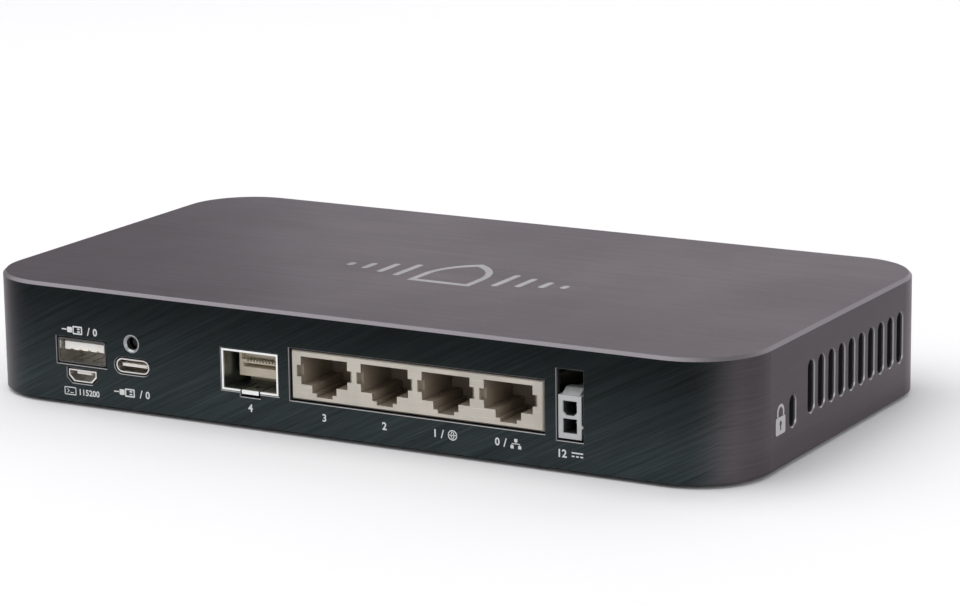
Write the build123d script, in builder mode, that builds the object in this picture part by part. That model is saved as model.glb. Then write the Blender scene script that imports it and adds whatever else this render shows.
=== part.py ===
from build123d import *
import os

os.makedirs("parts", exist_ok=True)

# A small fanless firewall appliance. +Z is up and the origin is the middle of the footprint, on the
# surface that the feet stand on. The port wall faces -Y and the vented wall with the lock slot faces +X.
# All sizes are in millimetres.

# ---- case ----
case_width = 193.0
case_depth = 106.0
case_height = 27.0
corner_radius = 17.0
top_chamfer = 0.7
wall = 1.6
roof = 2.0
edge_break = 0.3
port_edge_break = 0.15
base_thickness = 1.5
base_gap = 0.15

# ---- feet ----
foot_height = 1.0
foot_radius = 6.0
foot_recess = 0.6
foot_inset_x = 24.0
foot_inset_y = 20.0
foot_round = 0.5

# ---- case screws and their posts ----
post_inset = 12.5
post_radius = 3.6
screw_radius = 1.5
screw_head_radius = 2.8
screw_head_height = 1.3
screw_head_taper = 45
screw_length = 9.0
screw_clearance = 0.2
thread_clearance = 0.05
drive_radius = 0.9
drive_depth = 0.8
drive_sides = 6

# ---- wall-mount keyholes in the base ----
keyhole_spacing = 120.0
keyhole_entry_radius = 4.0
keyhole_slot_radius = 2.1
keyhole_slot_length = 7.0

# ---- underside air slots ----
base_slot_count = 12
base_slot_pitch = 6.0
base_slot_width = 2.4
base_slot_length = 22.0
base_slot_y = 6.0

# ---- side vents and security lock slot ----
vent_pitch = 5.37
vent_width = 3.4
vent_height = 11.6
vent_middle_height = 14.05
vent_corner_gap = 2.5
lock_setback = 28.05
lock_vent_gap = 9.45
lock_middle_height = 10.8
lock_width = 3.2
lock_height = 6.9
lock_plate_thickness = 1.5
lock_plate_width = 9.0
lock_plate_height = 12.0
lock_plate_slot_gap = 0.3
lock_plate_corner = 1.0

# ---- circuit board ----
board_height = 7.3
board_thickness = 1.2
board_side_gap = 3.0
board_port_gap = 0.6
board_far_gap = 1.0
post_board_gap = 1.0
standoff_across = 5.0
standoff_sides = 6
standoff_inset_x = 10.0
standoff_inset_y = 31.0
standoff_middle_inset_y = 10.0
board_screw_radius = 1.25
board_screw_head_radius = 2.3
board_screw_head_height = 1.4
board_screw_length = 4.0

# ---- gaps that every port shares ----
port_gap = 0.35
port_setback = 0.3
notch_gap = 0.3

# ---- network jack with four sockets ----
jack_middle_x = 20.35
jack_lift = 0.1
jack_height = 11.2
jack_end_margin = 8.5
jack_depth = 21.0
jack_sheet = 0.45
jack_edge_chamfer = 0.4
socket_count = 4
socket_pitch = 15.24
socket_width = 11.8
socket_top_height = 9.9
socket_shoulder_height = 3.6
socket_step_width = 6.2
socket_step_height = 1.9
socket_key_width = 4.06
socket_key_height = 1.1
socket_depth = 13.0
ground_notch_width = 1.1
ground_notch_low = 5.3
ground_notch_high = 7.9
ground_notch_depth = 0.8
jack_liner_gap = 0.05
comb_slot_count = 8
comb_slot_pitch = 1.02
comb_slot_width = 0.6
comb_slot_height = 0.8
back_slot_width = 8.3
back_slot_height = 0.75
back_slot_middle_height = 7.1
back_slot_depth = 1.0
comb_slot_back_height = 1.45
comb_end_gap = 0.4
contact_size = 0.32
contact_front_setback = 1.0
contact_bend_setback = 1.8
contact_back_setback = 11.5
contact_fall = 1.6

# ---- pluggable-module cage ----
cage_jack_gap = 3.3
cage_width = 14.7
cage_height = 9.4
cage_lift = 0.3
cage_sheet = 0.45
cage_depth = 21.0
cage_front_setback = 0.1
cage_ear_width = 1.6
cage_ear_length = 3.0
cage_vent_count = 3
cage_vent_pitch = 4.2
cage_vent_length = 2.6
cage_vent_width = 2.4
latch_width = 4.4
latch_side_gap = 0.4
latch_length = 6.4
latch_root_gap = 0.1
latch_notch_drop = 1.15
latch_lip_thickness = 0.45
latch_lip_drop = 0.45
latch_hole_radius = 1.1
latch_hole_sides = 3
latch_board_gap = 0.8
module_plug_setback = 5.0
module_plug_width = 11.6
module_plug_height = 5.9
module_plug_depth = 9.0
module_foot_depth = 4.5
module_plug_roof_gap = 0.7
module_plug_step = 1.6
module_slot_width = 9.6
module_slot_height = 0.9
module_slot_depth = 4.0
module_slot_rise = 2.48
module_hole_count = 10
module_hole_pitch = 0.8
module_hole_width = 0.45
module_hole_height = 0.7
module_post_width = 0.6
module_post_height = 2.2

# ---- large serial-bus socket ----
usb_a_cage_gap = 37.9
usb_a_width = 13.0
usb_a_height = 5.7
usb_a_sheet = 0.35
usb_a_depth = 14.0
usb_a_lift = 1.7
usb_a_corner = 0.5
usb_a_block_depth = 5.0
usb_a_block_gap = 0.05
usb_a_tongue_width = 11.1
usb_a_tongue_thickness = 1.84
usb_a_tongue_roof_gap = 0.75
usb_a_tongue_setback = 1.3
usb_a_finger_width = 2.2
usb_a_finger_length = 6.0
usb_a_finger_spacing = 5.6
usb_a_finger_setback = 1.6
usb_a_finger_slot = 0.35
usb_a_contact_count = 4
usb_a_contact_pitch = 2.4
usb_a_contact_width = 1.0
usb_a_contact_thickness = 0.3
usb_a_contact_length = 6.5

# ---- small oval serial-bus socket ----
usb_c_from_usb_a = 13.85
usb_c_width = 8.94
usb_c_height = 3.26
usb_c_sheet = 0.32
usb_c_depth = 7.4
usb_c_lift = 1.07
usb_c_back = 1.5
usb_c_tongue_width = 6.7
usb_c_tongue_thickness = 0.7
usb_c_tongue_setback = 0.9
usb_c_tongue_gap = 0.04
usb_c_pad_count = 12
usb_c_pad_pitch = 0.5
usb_c_pad_width = 0.26
usb_c_pad_thickness = 0.05
usb_c_pad_length = 3.2
usb_c_pad_inset = 0.9
usb_c_leg_width = 1.0
usb_c_leg_length = 1.6
usb_c_leg_inset = 1.5

# ---- console socket under the board ----
console_width = 7.6
console_height = 2.85
console_rise = 0.3
console_ear_width = 1.3
console_ear_length = 3.0
console_corner_x = 1.35
console_corner_z = 1.3
console_sheet = 0.3
console_depth = 5.6
console_back = 1.2
console_tongue_width = 4.0
console_tongue_thickness = 0.6
console_tongue_roof_gap = 0.25
console_tongue_setback = 0.7
console_tongue_gap = 0.04

# ---- reset button ----
reset_lift = 7.95
ring_outer_radius = 2.1
ring_inner_radius = 1.45
ring_bevel = 0.35
ring_fit = 0.03
reset_button_radius = 1.15
reset_button_setback = 2.2
reset_button_fit = 0.05
reset_button_overlap = 1.2
reset_travel = 0.5
reset_room = 0.3
switch_width = 6.0
switch_depth = 4.2
switch_gap = 0.5
switch_above = 2.6

# ---- power header ----
header_jack_gap = 3.45
header_width = 5.45
header_height = 9.4
header_sink = 0.6
header_left_gap = 0.3
header_right_gap = 0.65
header_bottom_gap = 0.5
header_depth = 12.5
header_seat_depth = 4.0
header_setback = 0.4
header_cavity_width = 3.4
header_cavity_height = 3.2
header_pitch = 3.85
header_cavity_depth = 9.0
header_cavity_corner = 0.8
header_key_reach = 0.5
header_key_height = 1.0
header_key_level = 2.75
header_key_length = 3.0
header_ramp_width = 4.2
header_ramp_height = 1.25
header_ramp_length = 4.0
header_ramp_setback = 0.9
header_pin_radius = 0.5
header_pin_length = 5.5
latch_space_height = 5.7

# ---- processor, heat sink and memory ----
sink_setback = 33.0
sink_width = 56.0
sink_length = 34.0
sink_base = 2.4
sink_fin_count = 9
sink_fin_thickness = 1.2
sink_roof_gap = 1.6
sink_screw_radius = 1.2
sink_screw_gap = 0.15
sink_screw_head_radius = 2.2
sink_screw_head_height = 1.2
sink_screw_inset = 3.6
processor_size = 17.0
processor_height = 1.6
pad_size = 15.0
pad_thickness = 0.6
memory_width = 9.0
memory_length = 7.5
memory_height = 1.1
memory_spacing = 13.0
switch_chip_size = 14.0
switch_chip_height = 1.2
switch_chip_from_cage = 14.0
switch_chip_setback = 36.0
storage_width = 11.5
storage_length = 13.0
storage_height = 1.2
storage_from_switch = 18.0

# ---- transformers, inductors, capacitors and clock cell ----
transformer_width = 12.7
transformer_length = 7.0
transformer_height = 4.5
transformer_jack_gap = 1.5
inductor_size = 7.0
inductor_height = 4.0
inductor_round = 1.2
inductor_setback = 36.0
inductor_pitch = 10.0
inductor_count = 3
inductor_sink_gap = 10.0
capacitor_radius = 4.0
capacitor_height = 10.0
capacitor_setback = 20.0
capacitor_pitch = 10.5
capacitor_count = 2
cell_radius = 10.0
cell_thickness = 3.2
cell_setback = 34.0
cell_side_inset = 30.0
cell_holder_wall = 1.2
cell_holder_floor = 0.8
cell_gap = 0.1
cell_holder_opening = 14.0

# ---- status lights on the far wall ----
light_count = 6
light_pitch = 7.0
light_side_inset = 44.5
light_height = 12.0
light_radius = 1.1
light_gap = 0.08
light_web_thickness = 2.4
light_web_height = 3.6
light_wall_gap = 0.4
light_leg_size = 1.8
light_leg_gap = 0.4
light_chip_width = 1.6
light_chip_length = 0.8
light_chip_height = 0.6

# ---- levels and places that follow from the sizes above ----
tiny = 0.02
case_bottom = foot_height
base_top = case_bottom + base_thickness
case_top = case_bottom + case_height
roof_under = case_top - roof
board_top = case_bottom + board_height
board_bottom = board_top - board_thickness
port_y = -case_depth / 2
far_y = case_depth / 2
side_x = case_width / 2
inner_port_y = port_y + wall
inner_far_y = far_y - wall
inner_side_x = side_x - wall
inner_radius = corner_radius - wall
post_x = side_x - post_inset
post_y = far_y - post_inset
standoff_x = inner_side_x - standoff_inset_x
standoff_y = inner_far_y - standoff_inset_y
jack_width = (socket_count - 1) * socket_pitch + 2 * jack_end_margin
jack_left = jack_middle_x - jack_width / 2
jack_right = jack_middle_x + jack_width / 2
jack_bottom = board_top + jack_lift
socket_xs = [jack_middle_x + (i - (socket_count - 1) / 2) * socket_pitch for i in range(socket_count)]
socket_top = jack_bottom + socket_top_height
cage_x = jack_left - cage_jack_gap - cage_width / 2
cage_bottom = board_top + cage_lift
cage_middle_z = cage_bottom + cage_height / 2
usb_a_x = cage_x - cage_width / 2 - usb_a_cage_gap
usb_a_bottom = board_top + usb_a_lift
usb_a_middle_z = usb_a_bottom + usb_a_height / 2
usb_c_x = usb_a_x + usb_c_from_usb_a
usb_c_z = board_top + usb_c_lift + usb_c_height / 2
console_x = usb_a_x
console_top = board_top + console_rise
reset_x = usb_c_x
reset_z = board_top + reset_lift
header_x = jack_right + header_jack_gap + header_width / 2
header_bottom = board_top - header_sink
header_top = header_bottom + header_height
header_cavity_z = header_bottom + header_height / 2
lock_y = port_y + lock_setback
vent_first_y = lock_y + lock_vent_gap
# as many vents as fit between the lock slot and the far rounded corner
vent_room = far_y - corner_radius - vent_corner_gap - vent_first_y
vent_count = int(vent_room // vent_pitch) + 1
vent_middle_y = vent_first_y + (vent_count - 1) * vent_pitch / 2
light_z = case_bottom + light_height
light_middle_x = side_x - light_side_inset
light_xs = [light_middle_x + (i - (light_count - 1) / 2) * light_pitch for i in range(light_count)]
sink_y = port_y + sink_setback + sink_length / 2
sink_bottom = board_top + processor_height + pad_thickness
switch_chip_x = cage_x - cage_width / 2 - switch_chip_from_cage


def port_plane(setback):
    """The plane this far behind the port wall's outer face, with x to the right and y up."""
    return Plane.XZ.offset(case_depth / 2 - setback)


def socket_outline(middle_x, grow=0.0):
    """One network socket's stepped opening, wide at the top and narrow at the bottom."""
    shoulder_z = jack_bottom + socket_shoulder_height - grow
    step_z = jack_bottom + socket_step_height - grow
    key_z = jack_bottom + socket_key_height - grow
    top_z = socket_top + grow
    half = socket_width / 2 + grow
    step_half = socket_step_width / 2 + grow
    key_half = socket_key_width / 2 + grow
    right_side = [
        (key_half, key_z),
        (key_half, step_z),
        (step_half, step_z),
        (step_half, shoulder_z),
        (half, shoulder_z),
        (half, top_z),
    ]
    left_side = [(-x, z) for x, z in reversed(right_side)]
    return [(middle_x + x, z) for x, z in right_side + left_side]


def console_outline(grow=0.0):
    """The console socket's outline, wide at the top with its lower corners cut away."""
    half = console_width / 2 + grow
    top_z = console_top + grow
    low_z = console_top - console_height - grow
    right_side = [
        (half - console_corner_x, low_z),
        (half, low_z + console_corner_z),
        (half, top_z),
    ]
    left_side = [(-x, z) for x, z in reversed(right_side)]
    return [(console_x + x, z) for x, z in right_side + left_side]


# ---- top cover: roof and four walls in one shell ----
with BuildPart() as top_cover:
    with BuildSketch(Plane.XY.offset(case_bottom)):
        RectangleRounded(case_width, case_depth, corner_radius)
    extrude(amount=case_height)
    chamfer(top_cover.faces().sort_by(Axis.Z)[-1].edges(), length=top_chamfer)
    with BuildSketch(Plane.XY.offset(case_bottom)):
        RectangleRounded(case_width - 2 * wall, case_depth - 2 * wall, inner_radius)
    extrude(amount=case_height - roof, mode=Mode.SUBTRACT)
    with BuildSketch(Plane.XY.offset(base_top)):
        with GridLocations(2 * post_x, 2 * post_y, 2, 2):
            Circle(post_radius)
    extrude(amount=roof_under - base_top)
    with Locations(Plane.XY.offset(base_top)):
        with GridLocations(2 * post_x, 2 * post_y, 2, 2):
            Cylinder(
                screw_radius + thread_clearance,
                2 * screw_length,
                mode=Mode.SUBTRACT,
            )
    # openings in the port wall
    with BuildSketch(port_plane(0)):
        with Locations((usb_a_x, usb_a_middle_z)):
            Rectangle(usb_a_width + 2 * port_gap, usb_a_height + 2 * port_gap)
        with Locations((usb_c_x, usb_c_z)):
            SlotOverall(usb_c_width + 2 * port_gap, usb_c_height + 2 * port_gap)
        with BuildLine():
            Polyline(*console_outline(port_gap), close=True)
        make_face()
        with Locations((reset_x, reset_z)):
            Circle(ring_outer_radius + ring_fit)
        with Locations((cage_x, cage_middle_z)):
            Rectangle(cage_width + port_gap, cage_height + port_gap)
        with Locations((cage_x, cage_bottom - latch_notch_drop / 2)):
            Rectangle(latch_width + 2 * latch_side_gap, latch_notch_drop)
        with Locations((jack_middle_x, jack_bottom + jack_height / 2)):
            Rectangle(jack_width + 2 * port_gap, jack_height + 2 * port_gap)
        with Locations((header_x - header_width / 2 - header_left_gap, header_bottom - header_bottom_gap)):
            Rectangle(
                header_width + header_left_gap + header_right_gap,
                header_height + header_bottom_gap + latch_space_height,
                align=(Align.MIN, Align.MIN),
            )
    extrude(amount=-wall - tiny, mode=Mode.SUBTRACT)
    # vents in both side walls, and the lock slot in the right one
    with BuildSketch(Plane.YZ.offset(side_x)):
        with Locations((vent_middle_y, case_bottom + vent_middle_height)):
            with GridLocations(vent_pitch, 0, vent_count, 1):
                SlotOverall(vent_height, vent_width, rotation=90)
        with Locations((lock_y, case_bottom + lock_middle_height)):
            SlotOverall(lock_height, lock_width, rotation=90)
    extrude(amount=-wall - tiny, mode=Mode.SUBTRACT)
    with BuildSketch(Plane.YZ.offset(-side_x)):
        with Locations((vent_middle_y, case_bottom + vent_middle_height)):
            with GridLocations(vent_pitch, 0, vent_count, 1):
                SlotOverall(vent_height, vent_width, rotation=90)
    extrude(amount=wall + tiny, mode=Mode.SUBTRACT)
    # status-light holes in the far wall
    with BuildSketch(Plane.XZ.offset(-far_y)):
        with Locations(*[(x, light_z) for x in light_xs]):
            Circle(light_radius + light_gap)
    extrude(amount=wall + tiny, mode=Mode.SUBTRACT)
    # every opening's outer edge is broken, apart from the ring's seat
    port_face = top_cover.faces().sort_by(Axis.Y)[0]
    port_rims = [rim.edges() for rim in port_face.inner_wires() if len(rim.edges()) > 1]
    chamfer([edge for rim in port_rims for edge in rim], length=port_edge_break)
    vent_face = top_cover.faces().sort_by(Axis.X)[-1]
    other_vent_face = top_cover.faces().sort_by(Axis.X)[0]
    side_rims = [rim.edges() for rim in vent_face.inner_wires() + other_vent_face.inner_wires()]
    chamfer([edge for rim in side_rims for edge in rim], length=edge_break)
top_cover.part.label = "top_cover"
export_step(top_cover.part, "parts/top_cover.step")

# ---- base plate: drops into the cover's open bottom ----
with BuildPart() as base_plate:
    with BuildSketch(Plane.XY.offset(case_bottom)):
        RectangleRounded(
            case_width - 2 * wall - 2 * base_gap,
            case_depth - 2 * wall - 2 * base_gap,
            inner_radius - base_gap,
        )
    extrude(amount=base_thickness)
    with Locations(-Plane.XY.offset(case_bottom)):
        with GridLocations(2 * post_x, 2 * post_y, 2, 2):
            CounterSinkHole(screw_radius + screw_clearance, screw_head_radius + screw_clearance)
    with BuildSketch(Plane.XY.offset(case_bottom)):
        with GridLocations(2 * (side_x - foot_inset_x), 2 * (far_y - foot_inset_y), 2, 2):
            Circle(foot_radius + base_gap)
    extrude(amount=foot_recess, mode=Mode.SUBTRACT)
    with BuildSketch(Plane.XY.offset(case_bottom)):
        with GridLocations(keyhole_spacing, 0, 2, 1):
            Circle(keyhole_entry_radius)
        with Locations((0, keyhole_slot_length / 2)):
            with GridLocations(keyhole_spacing, 0, 2, 1):
                Rectangle(2 * keyhole_slot_radius, keyhole_slot_length)
        with Locations((0, keyhole_slot_length)):
            with GridLocations(keyhole_spacing, 0, 2, 1):
                Circle(keyhole_slot_radius)
        with Locations((0, base_slot_y)):
            with GridLocations(base_slot_pitch, 0, base_slot_count, 1):
                SlotOverall(base_slot_length, base_slot_width, rotation=90)
    extrude(amount=base_thickness, mode=Mode.SUBTRACT)
base_plate.part.label = "base_plate"
export_step(base_plate.part, "parts/base_plate.step")

# ---- rubber feet, bonded into the base plate's recesses ----
with BuildPart() as rubber_feet:
    with BuildSketch():
        with GridLocations(2 * (side_x - foot_inset_x), 2 * (far_y - foot_inset_y), 2, 2):
            Circle(foot_radius)
    extrude(amount=foot_height + foot_recess)
    fillet(rubber_feet.edges().group_by(Axis.Z)[0], radius=foot_round)
rubber_feet.part.label = "rubber_feet"
export_step(rubber_feet.part, "parts/rubber_feet.step")

# ---- countersunk screws that hold the base plate to the cover's posts ----
with BuildPart() as base_screws:
    with BuildSketch(Plane.XY.offset(case_bottom)):
        with GridLocations(2 * post_x, 2 * post_y, 2, 2):
            Circle(screw_radius)
    extrude(amount=screw_length)
    with BuildSketch(Plane.XY.offset(case_bottom)):
        with GridLocations(2 * post_x, 2 * post_y, 2, 2):
            Circle(screw_head_radius)
    extrude(amount=screw_head_height, taper=screw_head_taper)
    with BuildSketch(Plane.XY.offset(case_bottom)):
        with GridLocations(2 * post_x, 2 * post_y, 2, 2):
            RegularPolygon(drive_radius, drive_sides)
    extrude(amount=drive_depth, mode=Mode.SUBTRACT)
base_screws.part.label = "base_screws"
export_step(base_screws.part, "parts/base_screws.step")

# ---- steel plate that backs the lock slot ----
with BuildPart() as lock_plate:
    with BuildSketch(Plane.YZ.offset(inner_side_x)):
        with Locations((lock_y, case_bottom + lock_middle_height)):
            RectangleRounded(lock_plate_width, lock_plate_height, lock_plate_corner)
            SlotOverall(
                lock_height + 2 * lock_plate_slot_gap,
                lock_width + 2 * lock_plate_slot_gap,
                rotation=90,
                mode=Mode.SUBTRACT,
            )
    extrude(amount=-lock_plate_thickness)
lock_plate.part.label = "lock_plate"
export_step(lock_plate.part, "parts/lock_plate.step")

# ---- main circuit board ----
with BuildPart() as main_board:
    with BuildSketch(Plane.XY.offset(board_bottom)):
        with Locations((0, (inner_port_y + board_port_gap + inner_far_y - board_far_gap) / 2)):
            Rectangle(
                2 * (inner_side_x - board_side_gap),
                inner_far_y - board_far_gap - inner_port_y - board_port_gap,
            )
        # corners cut away round the cover's screw posts
        corner_cut_x = side_x - (post_x - post_radius - post_board_gap)
        corner_cut_y = far_y - (post_y - post_radius - post_board_gap)
        with GridLocations(2 * side_x - corner_cut_x, 2 * far_y - corner_cut_y, 2, 2):
            Rectangle(corner_cut_x, corner_cut_y, mode=Mode.SUBTRACT)
        # notches for the console socket, the cage latch and the power header
        with Locations((console_x, port_y)):
            Rectangle(
                console_width + 2 * notch_gap,
                2 * (port_setback + console_depth + notch_gap),
                mode=Mode.SUBTRACT,
            )
        with Locations((cage_x, port_y)):
            Rectangle(
                latch_width + 2 * latch_board_gap,
                2 * (cage_front_setback + latch_length + latch_board_gap),
                mode=Mode.SUBTRACT,
            )
        with Locations((header_x, port_y)):
            Rectangle(
                header_width + 2 * header_key_reach + 2 * notch_gap,
                2 * (header_setback + header_depth - header_seat_depth + notch_gap),
                mode=Mode.SUBTRACT,
            )
        # holes for the board screws and the heat sink's screws
        with GridLocations(2 * standoff_x, 2 * standoff_y, 2, 2):
            Circle(board_screw_radius + screw_clearance, mode=Mode.SUBTRACT)
        with Locations((0, inner_far_y - standoff_middle_inset_y)):
            Circle(board_screw_radius + screw_clearance, mode=Mode.SUBTRACT)
        with Locations((jack_middle_x, sink_y)):
            with GridLocations(sink_width - 2 * sink_screw_inset, sink_length - 2 * sink_screw_inset, 2, 2):
                Circle(sink_screw_radius + sink_screw_gap, mode=Mode.SUBTRACT)
    extrude(amount=board_thickness)
main_board.part.label = "main_board"
export_step(main_board.part, "parts/main_board.step")

# ---- hexagonal standoffs between the base plate and the board ----
with BuildPart() as board_standoffs:
    with BuildSketch(Plane.XY.offset(base_top)):
        with GridLocations(2 * standoff_x, 2 * standoff_y, 2, 2):
            RegularPolygon(standoff_across / 2, standoff_sides, major_radius=False)
            Circle(board_screw_radius + thread_clearance, mode=Mode.SUBTRACT)
        with Locations((0, inner_far_y - standoff_middle_inset_y)):
            RegularPolygon(standoff_across / 2, standoff_sides, major_radius=False)
            Circle(board_screw_radius + thread_clearance, mode=Mode.SUBTRACT)
    extrude(amount=board_bottom - base_top)
board_standoffs.part.label = "board_standoffs"
export_step(board_standoffs.part, "parts/board_standoffs.step")

# ---- pan-head screws that hold the board on its standoffs ----
with BuildPart() as board_screws:
    with BuildSketch(Plane.XY.offset(board_top)):
        with GridLocations(2 * standoff_x, 2 * standoff_y, 2, 2):
            Circle(board_screw_head_radius)
        with Locations((0, inner_far_y - standoff_middle_inset_y)):
            Circle(board_screw_head_radius)
    extrude(amount=board_screw_head_height)
    fillet(board_screws.edges().group_by(Axis.Z)[-1], radius=board_screw_head_height / 2)
    with BuildSketch(Plane.XY.offset(board_top)):
        with GridLocations(2 * standoff_x, 2 * standoff_y, 2, 2):
            Circle(board_screw_radius)
        with Locations((0, inner_far_y - standoff_middle_inset_y)):
            Circle(board_screw_radius)
    extrude(amount=-board_screw_length)
board_screws.part.label = "board_screws"
export_step(board_screws.part, "parts/board_screws.step")

# ---- four-socket network jack: plated shield ----
with BuildPart() as jack_shield:
    with BuildSketch(port_plane(port_setback)):
        with Locations((jack_middle_x, jack_bottom + jack_height / 2)):
            Rectangle(jack_width, jack_height)
    extrude(amount=-jack_depth)
    chamfer(jack_shield.faces().sort_by(Axis.Y)[0].edges(), length=jack_edge_chamfer)
    with BuildSketch(port_plane(port_setback + jack_sheet)):
        with Locations((jack_middle_x, jack_bottom)):
            Rectangle(
                jack_width - 2 * jack_sheet,
                jack_height - jack_sheet,
                align=(Align.CENTER, Align.MIN),
            )
    extrude(amount=-(jack_depth - 2 * jack_sheet), mode=Mode.SUBTRACT)
    with BuildSketch(port_plane(port_setback)):
        for middle_x in socket_xs:
            with BuildLine():
                Polyline(*socket_outline(middle_x), close=True)
            make_face()
            with Locations((middle_x, jack_bottom + (ground_notch_low + ground_notch_high) / 2)):
                Rectangle(socket_width + 2 * ground_notch_width, ground_notch_high - ground_notch_low)
    extrude(amount=-jack_sheet - tiny, mode=Mode.SUBTRACT)
jack_shield.part.label = "jack_shield"
export_step(jack_shield.part, "parts/jack_shield.step")

# ---- network jack: moulded housing behind the shield ----
comb_xs = [(i - (comb_slot_count - 1) / 2) * comb_slot_pitch for i in range(comb_slot_count)]
comb_middle_z = socket_top + comb_slot_height / 2
contact_run = contact_back_setback - contact_bend_setback
contact_drop = comb_slot_height + contact_fall - contact_size
# where the sloping contacts have come down clear of the ceiling
comb_end_setback = contact_bend_setback + contact_run * comb_slot_height / contact_drop + comb_end_gap
with BuildPart() as jack_housing:
    with BuildSketch(port_plane(port_setback + jack_sheet + jack_liner_gap)):
        with Locations((jack_middle_x, jack_bottom)):
            Rectangle(
                jack_width - 2 * jack_sheet - 2 * jack_liner_gap,
                jack_height - jack_sheet - jack_liner_gap,
                align=(Align.CENTER, Align.MIN),
            )
    extrude(amount=-(jack_depth - 2 * jack_sheet - 2 * jack_liner_gap))
    with BuildSketch(port_plane(port_setback)):
        for middle_x in socket_xs:
            with BuildLine():
                Polyline(*socket_outline(middle_x, jack_liner_gap), close=True)
            make_face()
    extrude(amount=-socket_depth, mode=Mode.SUBTRACT)
    with BuildSketch(port_plane(port_setback)):
        for middle_x in socket_xs:
            with Locations((middle_x, jack_bottom + (ground_notch_low + ground_notch_high) / 2)):
                Rectangle(socket_width + 2 * ground_notch_width, ground_notch_high - ground_notch_low)
    extrude(amount=-(jack_sheet + ground_notch_depth), mode=Mode.SUBTRACT)
    # comb grooves in each socket's ceiling, where the contacts start
    with BuildSketch(port_plane(port_setback + jack_sheet)):
        for middle_x in socket_xs:
            for comb_x in comb_xs:
                with Locations((middle_x + comb_x, comb_middle_z)):
                    Rectangle(comb_slot_width, comb_slot_height)
    extrude(amount=-(comb_end_setback - port_setback - jack_sheet), mode=Mode.SUBTRACT)
    # comb slots and a long slot in each socket's back wall
    with BuildSketch(port_plane(port_setback + socket_depth)):
        for middle_x in socket_xs:
            with Locations((middle_x, jack_bottom + back_slot_middle_height)):
                Rectangle(back_slot_width, back_slot_height)
            for comb_x in comb_xs:
                with Locations((middle_x + comb_x, socket_top - comb_slot_back_height / 2)):
                    Rectangle(comb_slot_width, comb_slot_back_height)
    extrude(amount=-back_slot_depth, mode=Mode.SUBTRACT)
jack_housing.part.label = "jack_housing"
export_step(jack_housing.part, "parts/jack_housing.step")

# ---- network jack: sprung contacts, eight to a socket ----
contact_top_z = socket_top + comb_slot_height
contact_low_z = contact_top_z - contact_size
contact_front_y = port_y + contact_front_setback
contact_bend_y = port_y + contact_bend_setback
contact_back_y = port_y + contact_back_setback
contact_side = [
    (contact_front_y, contact_top_z),
    (contact_bend_y, contact_top_z),
    (contact_back_y, socket_top - contact_fall + contact_size),
    (contact_back_y, socket_top - contact_fall),
    (contact_bend_y, contact_low_z),
    (contact_front_y, contact_low_z),
]
with BuildPart() as jack_contacts:
    for middle_x in socket_xs:
        for comb_x in comb_xs:
            with BuildSketch(Plane.YZ.offset(middle_x + comb_x - contact_size / 2)):
                with BuildLine():
                    Polyline(*contact_side, close=True)
                make_face()
            extrude(amount=contact_size)
jack_contacts.part.label = "jack_contacts"
export_step(jack_contacts.part, "parts/jack_contacts.step")

# ---- pluggable-module cage: folded sheet box, open in front ----
module_plug_y = port_y + module_plug_setback
cage_inner_width = cage_width - 2 * cage_sheet
with BuildPart() as module_cage:
    with BuildSketch(port_plane(cage_front_setback)):
        with Locations((cage_x, cage_middle_z)):
            Rectangle(cage_width, cage_height)
            Rectangle(cage_inner_width, cage_height - 2 * cage_sheet, mode=Mode.SUBTRACT)
    extrude(amount=-cage_depth)
    # back sheet
    with BuildSketch(port_plane(cage_front_setback + cage_depth)):
        with Locations((cage_x, cage_middle_z)):
            Rectangle(cage_width, cage_height)
    extrude(amount=cage_sheet)
    # the floor is cut out round the latch, and round the plug's foot
    with BuildSketch(Plane.XY.offset(cage_bottom)):
        with Locations((cage_x, port_y)):
            Rectangle(
                latch_width + 2 * latch_side_gap,
                cage_front_setback + latch_length + latch_root_gap,
                align=(Align.CENTER, Align.MIN),
            )
        with Locations((cage_x, module_plug_y + module_plug_depth - module_foot_depth / 2)):
            Rectangle(module_plug_width + 2 * port_gap, module_foot_depth + 2 * port_gap)
    extrude(amount=cage_sheet, mode=Mode.SUBTRACT)
    # cooling holes in the top sheet
    with BuildSketch(Plane.XY.offset(cage_bottom + cage_height)):
        with Locations((cage_x, port_y + cage_front_setback + cage_depth / 2)):
            with GridLocations(cage_vent_pitch, cage_vent_pitch, cage_vent_count, cage_vent_count):
                Rectangle(cage_vent_width, cage_vent_length)
    extrude(amount=-cage_sheet, mode=Mode.SUBTRACT)
    # ears that carry the cage on the board
    with BuildSketch(Plane.XY.offset(cage_bottom - cage_lift)):
        with Locations((cage_x, module_plug_y + module_plug_depth / 2)):
            with GridLocations(cage_width + cage_ear_width - 2 * cage_sheet, 0, 2, 1):
                Rectangle(cage_ear_width, cage_ear_length)
    extrude(amount=cage_lift + cage_sheet)
module_cage.part.label = "module_cage"
export_step(module_cage.part, "parts/module_cage.step")

# ---- cage latch: the sprung tongue in the cage's floor ----
with BuildPart() as cage_latch:
    with BuildSketch(Plane.XY.offset(cage_bottom)):
        with Locations((cage_x, port_y + cage_front_setback)):
            Rectangle(latch_width, latch_length, align=(Align.CENTER, Align.MIN))
        with Locations((cage_x, port_y + cage_front_setback + latch_length / 2)):
            RegularPolygon(latch_hole_radius, latch_hole_sides, mode=Mode.SUBTRACT)
    extrude(amount=cage_sheet)
    # front lip, turned down
    with BuildSketch(port_plane(cage_front_setback)):
        with Locations((cage_x, cage_bottom)):
            Rectangle(latch_width, latch_lip_drop, align=(Align.CENTER, Align.MAX))
    extrude(amount=-latch_lip_thickness)
cage_latch.part.label = "cage_latch"
export_step(cage_latch.part, "parts/cage_latch.step")

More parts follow.
